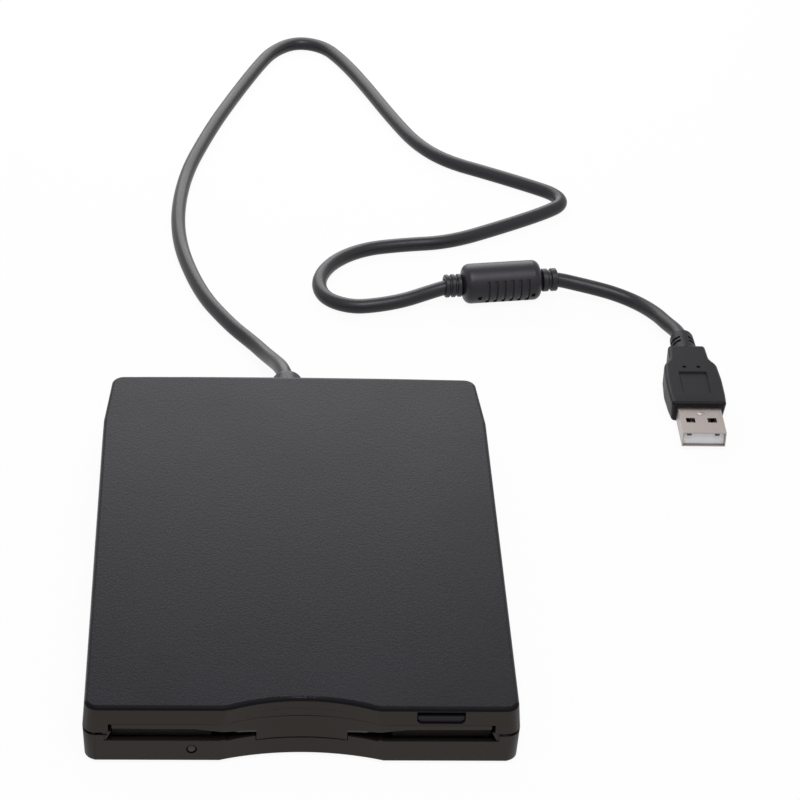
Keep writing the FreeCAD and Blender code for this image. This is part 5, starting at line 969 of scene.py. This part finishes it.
body_start = RELIEF_IN
body_end = RELIEF_IN + BODY_LENGTH
total_length = body_end + RELIEF_OUT
shoulder = BODY_RADIUS - BODY_ROUNDING
groove_middle = (body_start + body_end) / 2 + GROOVES_AHEAD
groove_places = [groove_middle + (index - (GROOVE_COUNT - 1) / 2) * GROOVE_PITCH
                 for index in range(GROOVE_COUNT)]
vent_places = [body_start + VENT_FROM_START, body_end - VENT_FROM_END]
cuts = sorted(edges_of(groove_places, GROOVE_WIDTH) + edges_of(vent_places, VENT_WIDTH))
profile = [(0, BORE_RADIUS)] + ringed(RELIEF_IN, 3)
profile += quarter_round((body_start + BODY_ROUNDING, shoulder), BODY_ROUNDING, math.pi)
profile += [(place, BODY_RADIUS) for place in cuts]
profile += quarter_round((body_end - BODY_ROUNDING, shoulder), BODY_ROUNDING, math.pi / 2)
profile += [(total_length - place, radius) for place, radius in reversed(ringed(RELIEF_OUT, 2))]
profile += [(total_length, BORE_RADIUS)]
print(len(profile), "points in the outline")

# %% Turned shapes
SPIN_STEPS = 96


def spin_profile(points):
    """A closed turned shape about Z from (length, radius) points in millimetres."""
    shape = bmesh.new()
    verts, edges = add_chain(shape, [(radius, 0, place) for place, radius in points], closed=True)
    bmesh.ops.spin(shape, geom=verts + edges, cent=(0, 0, 0), axis=(0, 0, 1),
                   angle=math.tau, steps=SPIN_STEPS, use_merge=True)
    bmesh.ops.remove_doubles(shape, verts=shape.verts, dist=TOUCHING)
    bmesh.ops.recalc_face_normals(shape, faces=shape.faces)
    return shape


def lay_along(start, axis):
    """A matrix that lays Z along an axis, with X level and Y as near as it goes to down."""
    side = axis.cross(Vector((0, 0, 1))).normalized()
    raised = axis.cross(side)
    return Matrix.Translation(start) @ Matrix((side, raised, axis)).transposed().to_4x4()


def press_in(shape, place, width, radius, middle, spread, depth):
    """Press in the outermost faces at a place along a turned shape, within an angle."""
    faces = []
    for face in shape.faces:
        centre = face.calc_center_median()
        around = math.degrees(math.atan2(centre.y, centre.x))
        away = abs((around - middle + 180) % 360 - 180)
        on_skin = Vector((centre.x, centre.y)).length > radius * MM
        if on_skin and away < spread and abs(centre.z - place * MM) < width / 4 * MM:
            faces.append(face)
    for vert in part_patch(shape, faces):
        radial = Vector((vert.co.x, vert.co.y, 0))
        bmesh.ops.translate(shape, verts=[vert], vec=-radial.normalized() * depth * MM)


# %% Spin the ferrite moulding
GROOVE_MIDDLE, GROOVE_SPREAD, VENT_MIDDLE, VENT_SPREAD = 13, 47, 19, 7
PRESS_DEPTH = 0.6


def make_ferrite_moulding():
    """The barrel with its ribbed reliefs, grooves and vents."""
    shape = spin_profile(profile)
    for places, middle, spread in ((groove_places, GROOVE_MIDDLE, GROOVE_SPREAD),
                                   (vent_places, VENT_MIDDLE, VENT_SPREAD)):
        for place in places:
            press_in(shape, place, GROOVE_WIDTH, BODY_RADIUS - 0.1, middle, spread, PRESS_DEPTH)
    sagging = [vert for vert in shape.verts
               if not (body_start - 0.1) * MM < vert.co.z < (body_end + 0.1) * MM]
    shape.transform(lay_along(ferrite_in, ferrite_axis))
    bmesh.ops.translate(shape, verts=sagging, vec=(0, 0, -RELIEF_SAG * MM))
    return finish_piece(shape, "ferrite_moulding", "ferrite_black", ["ferrite_housing"])


ferrite_moulding = make_ferrite_moulding()

# %% [markdown]
# ## The plug
# The plug's grip is an overmoulding: a flat block with rounded edges, two
# shoulders, a shallow bare panel and two small pits on top, and a front that
# leans in towards the table. Its outline is drawn once in plan and extruded,
# then the edges are bevelled. The panel and the pits could be cut out with
# booleans, but scoring the flat top and sinking the patches keeps one clean
# closed mesh.

# %% Grip block
PLUG_X, GRIP_FRONT, GRIP_THICKNESS = 112.6, 74.6, 7.4
GRIP_OUTLINE = [(7.7, 0), (7.95, 5.0), (7.95, 13.0), (7.5, 20.4), (5.65, 23.6), (5.3, 30.4)]
GRIP_CORNER, GRIP_ROUNDING = 1.0, 1.3
PANEL_HALF, PANEL_START, PANEL_END, PANEL_DEPTH, PANEL_SLOPE = 4.0, 5.2, 16.3, 0.45, 0.3
DOT_SIDE, DOT_HALF, DOT_AT, DOT_DEPTH, DOT_SLOPE = 2.0, 0.5, 18.7, 0.8, 0.1
FRONT_LEAN, LEAN_REACH, FRONT_TAPER, TAPER_REACH = 1.7, 8, 0.7, 12


def upright(edge):
    """True for an edge that stands straight up."""
    run = edge.verts[1].co - edge.verts[0].co
    return abs(run.z) > 0.9 * run.length


def is_top(face):
    """True for a face of the grip's flat top."""
    return face.normal.z > 0.99 and face.calc_center_median().z > (GRIP_THICKNESS - 0.05) * MM


def raise_plan(shape, points, height):
    """Extrude a block from plan points, in millimetres from the plug's front."""
    base = shape.faces.new(add_points(shape, [(PLUG_X + x, GRIP_FRONT + y, 0) for x, y in points]))
    made = bmesh.ops.extrude_face_region(shape, geom=[base])
    bmesh.ops.translate(shape, verts=new_verts(made), vec=(0, 0, height * MM))
    bmesh.ops.recalc_face_normals(shape, faces=shape.faces)


def cut_patch(shape, x_range, y_range):
    """Score a rectangle on the grip's top, in millimetres from the plug's front."""
    for axis, offset, values in ((0, PLUG_X, x_range), (1, GRIP_FRONT, y_range)):
        for value in values:
            point, normal = Vector((0, 0, 0)), Vector((0, 0, 0))
            point[axis], normal[axis] = (offset + value) * MM, 1
            score(shape, [face for face in shape.faces if is_top(face)], point, normal)


def sink_patch(shape, x_range, y_range, depth, slope):
    """Sink a scored rectangle, with sloped walls round it."""
    faces = []
    for face in shape.faces:
        middle = face.calc_center_median() / MM
        x, y = middle.x - PLUG_X, middle.y - GRIP_FRONT
        if is_top(face) and x_range[0] < x < x_range[1] and y_range[0] < y < y_range[1]:
            faces.append(face)
    bmesh.ops.inset_region(shape, faces=faces, thickness=slope * MM, depth=0,
                           use_even_offset=True)
    verts = {vert for face in faces for vert in face.verts}
    bmesh.ops.translate(shape, verts=list(verts), vec=(0, 0, -depth * MM))


def lean_front(shape):
    """Let the grip's front lean back and in towards the table."""
    for vert in shape.verts:
        back = vert.co.y / MM - GRIP_FRONT
        under = 1 - vert.co.z / (GRIP_THICKNESS * MM)
        vert.co.y += FRONT_LEAN * MM * under * max(0, 1 - back / LEAN_REACH)
        inward = FRONT_TAPER * under * max(0, 1 - back / TAPER_REACH)
        vert.co.x -= math.copysign(inward * MM, vert.co.x - PLUG_X * MM)


# %% Grip
def make_grip():
    """The plug's grip, with its rounded edges, panel and two small pits."""
    shape = bmesh.new()
    raise_plan(shape, GRIP_OUTLINE + [(-x, y) for x, y in reversed(GRIP_OUTLINE)], GRIP_THICKNESS)
    soften(shape, [edge for edge in shape.edges if upright(edge)], GRIP_CORNER, 4)
    rims = [edge for edge in shape.edges
            if not upright(edge) and edge.verts[0].co.z == edge.verts[1].co.z]
    soften(shape, rims, GRIP_ROUNDING, 5)
    patches = [((-PANEL_HALF, PANEL_HALF), (PANEL_START, PANEL_END), PANEL_DEPTH, PANEL_SLOPE)]
    for side in (-1, 1):
        middle = side * DOT_SIDE
        patches.append(((middle - DOT_HALF, middle + DOT_HALF),
                        (DOT_AT - DOT_HALF, DOT_AT + DOT_HALF), DOT_DEPTH, DOT_SLOPE))
    for x_range, y_range, _, _ in patches:
        cut_patch(shape, x_range, y_range)
    for patch in patches:
        sink_patch(shape, *patch)
    lean_front(shape)
    return finish_piece(shape, "grip", "plug_black", ["plug_grip"], crease=math.radians(40))


grip = make_grip()

# %% [markdown]
# ## The plug's strain relief
# A tapered sleeve grips the lead behind the plug. Slots across both of its
# sides leave a spine on top and below, so that it bends with the lead. It
# is turned, and the slots are pressed in, as on the ferrite moulding.

# %% Slotted sleeve
SLEEVE_START, SLEEVE_LENGTH, SLEEVE_HIDDEN = 105.0, 9.3, 0.6
SLEEVE_ROOT, SLEEVE_TIP, TIP_ROUNDING = 3.68, 3.4, 0.75
SLOT_PLACES, SLOT_WIDTH, SLOT_SPREAD, SLOT_DEPTH = (2.9, 4.9), 1.0, 72, 0.75


def make_sleeve():
    """The tapered sleeve with slots pressed into both sides."""
    slope = (SLEEVE_TIP - SLEEVE_ROOT) / SLEEVE_LENGTH
    points = [(-SLEEVE_HIDDEN, BORE_RADIUS), (-SLEEVE_HIDDEN, SLEEVE_ROOT)]
    points += [(place, SLEEVE_ROOT + slope * place)
               for place in sorted(edges_of(SLOT_PLACES, SLOT_WIDTH))]
    points += quarter_round((SLEEVE_LENGTH - 1.0, SLEEVE_TIP - TIP_ROUNDING), TIP_ROUNDING,
                            math.pi / 2, 4)
    points.append((SLEEVE_LENGTH - 0.2, BORE_RADIUS))
    shape = spin_profile(points)
    for place in SLOT_PLACES:
        for side in (0, 180):
            press_in(shape, place, SLOT_WIDTH, SLEEVE_TIP - 0.2, side, SLOT_SPREAD, SLOT_DEPTH)
    start = Vector((PLUG_X, SLEEVE_START, GRIP_THICKNESS / 2)) * MM
    shape.transform(lay_along(start, Vector((0, 1, 0))))
    return finish_piece(shape, "plug_sleeve", "plug_black", ["plug_boot"])


sleeve = make_sleeve()

# %% [markdown]
# ## Inside the plug's mouth
# A white tongue nearly fills the mouth, and two small steel leaves press
# down beside its contacts; they are made black, as painted shade under the
# mouth's upper edge. A stamped tab shows on top of the shell. The tongue,
# contacts and leaves are small blocks, so one helper bevels a scaled cube
# for them, and the tab is a flattened sphere.

# %% Tongue and contacts
MOUTH_HALF, TONGUE_ROUNDNESS = 5.68, 0.1
CONTACT_PITCH, CONTACT_HALF, CONTACT_BACK = 2.3, 0.5, 74.0
OUTER_CONTACT, INNER_CONTACT, CONTACT_LEVELS = 64.8, 65.8, (3.85, 3.97)


def block(shape, low, high, rounding, segments=2):
    """Add a box between two corners, in millimetres, with rounded edges."""
    middle = (Vector(low) + Vector(high)) / 2 * MM
    size = (Vector(high) - Vector(low)) * MM
    made = bmesh.ops.create_cube(shape, size=1, matrix=Matrix.Translation(middle) @
                                 Matrix.Diagonal((*size, 1)))
    edges = dict.fromkeys(edge for vert in made["verts"] for edge in vert.link_edges)
    soften(shape, list(edges), rounding, segments)


def make_tongue():
    """The white tongue, as wide as the mouth, with a thicker end."""
    shape = bmesh.new()
    for front, back, low, high in ((64.0, 78.4, 1.78, 3.9), (62.8, 64.4, 1.79, 5.3)):
        block(shape, (PLUG_X - MOUTH_HALF, front, low), (PLUG_X + MOUTH_HALF, back, high),
              TONGUE_ROUNDNESS)
    return finish_piece(shape, "tongue", "tongue_white", ["plug_tongue"])


def make_contacts():
    """Four flat contacts on the tongue, set back from its end."""
    shape = bmesh.new()
    for index in range(4):
        x = PLUG_X + (index - 1.5) * CONTACT_PITCH
        front = OUTER_CONTACT if index in (0, 3) else INNER_CONTACT
        block(shape, (x - CONTACT_HALF, front, CONTACT_LEVELS[0]),
              (x + CONTACT_HALF, CONTACT_BACK, CONTACT_LEVELS[1]), 0.03, 1)
    return finish_piece(shape, "contacts", "contact_gold", ["plug_contacts"])


tongue = make_tongue()
contacts = make_contacts()

# %% Leaves and tab
LEAVES_ACROSS, LEAF_HALF, LEAF_ALONG, LEAF_LEVELS = (-4.2, 3.5), 0.65, (62.1, 68.0), (4.85, 5.64)
TAB_PLACE, TAB_RADIUS, TAB_SHAPE = (112.62, 71.6, 5.93), 1.0, (1.15, 0.62, 0.28, 1)


def make_leaves():
    """Two steel leaves under the mouth's upper edge, made black as painted shade."""
    shape = bmesh.new()
    for across in LEAVES_ACROSS:
        x = PLUG_X + across
        block(shape, (x - LEAF_HALF, LEAF_ALONG[0], LEAF_LEVELS[0]),
              (x + LEAF_HALF, LEAF_ALONG[1], LEAF_LEVELS[1]), 0.15)
    # The leaves take the black screws' finish: painted shade under the mouth's upper edge, not the colour
    # of their steel.
    return finish_piece(shape, "leaves", "black_screws")


def make_tab():
    """A small pressed tab on top of the shell."""
    shape = bmesh.new()
    place = Matrix.Translation(Vector(TAB_PLACE) * MM)
    bmesh.ops.create_uvsphere(shape, u_segments=32, v_segments=16, radius=TAB_RADIUS * MM,
                              matrix=place @ Matrix.Diagonal(TAB_SHAPE))
    return finish_piece(shape, "shell_tab", "plug_steel")


leaves = make_leaves()
shell_tab = make_tab()

# %% [markdown]
# ## The plug's shell
# The shell is a steel sheet folded to a flat tube, with two latch windows in
# its top. The frame's shell already has the standard's size, so a merged
# copy of it keeps the fit, and only the windows' corners are moved apart.

# %% The plug's shell
WINDOW_Y, WINDOW_LOW, WINDOW_HALF = (66, 68, 70), 5, 4.3
WINDOW_MOVES = {108.5: -0.35, 110.7: -0.05, 114.5: -0.35, 116.7: -0.05}


def make_shell():
    """The steel shell, with its two latch windows a little wider."""
    shape = copy_of("plug_shell")
    front, middle, back = WINDOW_Y
    for vert in shape.verts:
        place = vert.co / MM
        if front < place.y < back and place.z > WINDOW_LOW and abs(place.x - PLUG_X) < WINDOW_HALF:
            vert.co.x += WINDOW_MOVES[round(place.x, 1)] * MM
            vert.co.y += (0.2 if place.y > middle else 0.1) * MM
    return finish_piece(shape, "shell", "plug_steel", ["plug_shell"])


shell = make_shell()

# %% [markdown]
# ## The boot at the case
# The lead leaves the case through a soft boot with a rounded tip, wider
# than the hole that it is pressed into. It is turned about the lead, from
# an outline with a neck where the wall grips it.

# %% Boot
BOOT_PLACE = (-1.8, 68.2, 9.2)
BOOT_OUTLINE = [(0, BORE_RADIUS), (0, 3.1), (3.2, 3.1), (3.2, 4.6), (9.0, 4.4)]
BOOT_TIP, BOOT_ROUNDING, BOOT_END = (10.9, 3.1), 1.3, 12.3


def make_boot():
    """The turned boot on the case's rear wall."""
    points = BOOT_OUTLINE + quarter_round(BOOT_TIP, BOOT_ROUNDING, math.pi / 2, 4)
    shape = spin_profile(points + [(BOOT_END, BORE_RADIUS)])
    shape.transform(lay_along(Vector(BOOT_PLACE) * MM, Vector((0, 1, 0))))
    return finish_piece(shape, "case_boot", "cable_black", ["cord_boot"])


case_boot = make_boot()

# %% [markdown]
# ## The floor and the light
# The floor and the world are white to the camera and in reflections. The
# floor keeps a part of its real shading, so the drive's shadow stays on it.
# A brighter world could whiten the background too, but it would wash out the
# black plastic, so white is given to those rays alone. One large soft lamp
# hangs overhead, and a small weak one stands low behind the drive, to draw a
# light along its upper edges.

# %% Floor and world
FLOOR_HALF, FLOOR_GREY, FLOOR_WHITE_SHARE = 4.0, (0.86, 0.86, 0.86, 1), 0.94
WHITE, SOFT_STRENGTH, WHITE_STRENGTH = (1, 1, 1, 1), 0.36, 1.0


def white_share(tree, share):
    """A value that is share for camera, glossy and transmission rays, and 0 for the others."""
    rays = add_node(tree, "LightPath").outputs
    seen = calculate(tree, "MAXIMUM", rays["Is Camera Ray"], rays["Is Glossy Ray"])
    seen = calculate(tree, "MAXIMUM", seen, rays["Is Transmission Ray"])
    return calculate(tree, "MULTIPLY", seen, share)


def two_looks(tree, kind, share, first, second):
    """Clear a tree and mix two shaders in it: one for light, one for what is seen."""
    tree.nodes.clear()
    mixed = add_node(tree, "MixShader", {0: white_share(tree, share), 1: first(tree),
                                         2: second(tree)})
    add_node(tree, kind, {"Surface": mixed.outputs[0]})


def shader_maker(kind, **inputs):
    """A function that adds a shader node to a tree and returns its output."""
    return lambda tree: add_node(tree, kind, inputs).outputs[0]


def make_floor():
    """A wide pale table top."""
    shape = bmesh.new()
    bmesh.ops.create_grid(shape, x_segments=1, y_segments=1, size=FLOOR_HALF)
    mesh = bpy.data.meshes.new("floor")
    shape.to_mesh(mesh)
    shape.free()
    material = bpy.data.materials.new("pale table")
    material.use_nodes = True
    two_looks(material.node_tree, "OutputMaterial", FLOOR_WHITE_SHARE,
              shader_maker("BsdfDiffuse", Color=FLOOR_GREY),
              shader_maker("Emission", Strength=WHITE_STRENGTH))
    mesh.materials.append(material)
    floor = bpy.data.objects.new("floor", mesh)
    scene.collection.objects.link(floor)
    return floor


def make_world():
    """White to the camera and in reflections, soft grey as a light."""
    world = bpy.data.worlds.new("studio")
    world.use_nodes = True
    scene.world = world
    two_looks(world.node_tree, "OutputWorld", 1.0,
              shader_maker("Background", Color=WHITE, Strength=SOFT_STRENGTH),
              shader_maker("Background", Color=WHITE, Strength=WHITE_STRENGTH))


floor = make_floor()
make_world()
print("floor and world ready")

# %% Lamps
LAMPS = {  # place, point it is aimed at, side length in metres, watts
    "rear_lamp": ((0.0, 0.42, 0.16), (0.0, 0.04, 0), 0.25, 0.5),
    "top_lamp": ((0.05, -0.28, 1.05), (0.02, 0.08, 0), 0.6, 7.0),
}


def add_lamp(name, place, target, size, power):
    """A square soft lamp aimed at a point."""
    lamp = bpy.data.lights.new(name, "AREA")
    lamp.shape = "SQUARE"
    lamp.size = size
    lamp.energy = power
    thing = bpy.data.objects.new(name, lamp)
    thing.location = place
    thing.rotation_euler = (Vector(target) - Vector(place)).to_track_quat("-Z", "Y").to_euler()
    scene.collection.objects.link(thing)


for name, values in LAMPS.items():
    add_lamp(name, *values)
scene.view_settings.view_transform = "Standard"
print(len(LAMPS), "lamps ready")
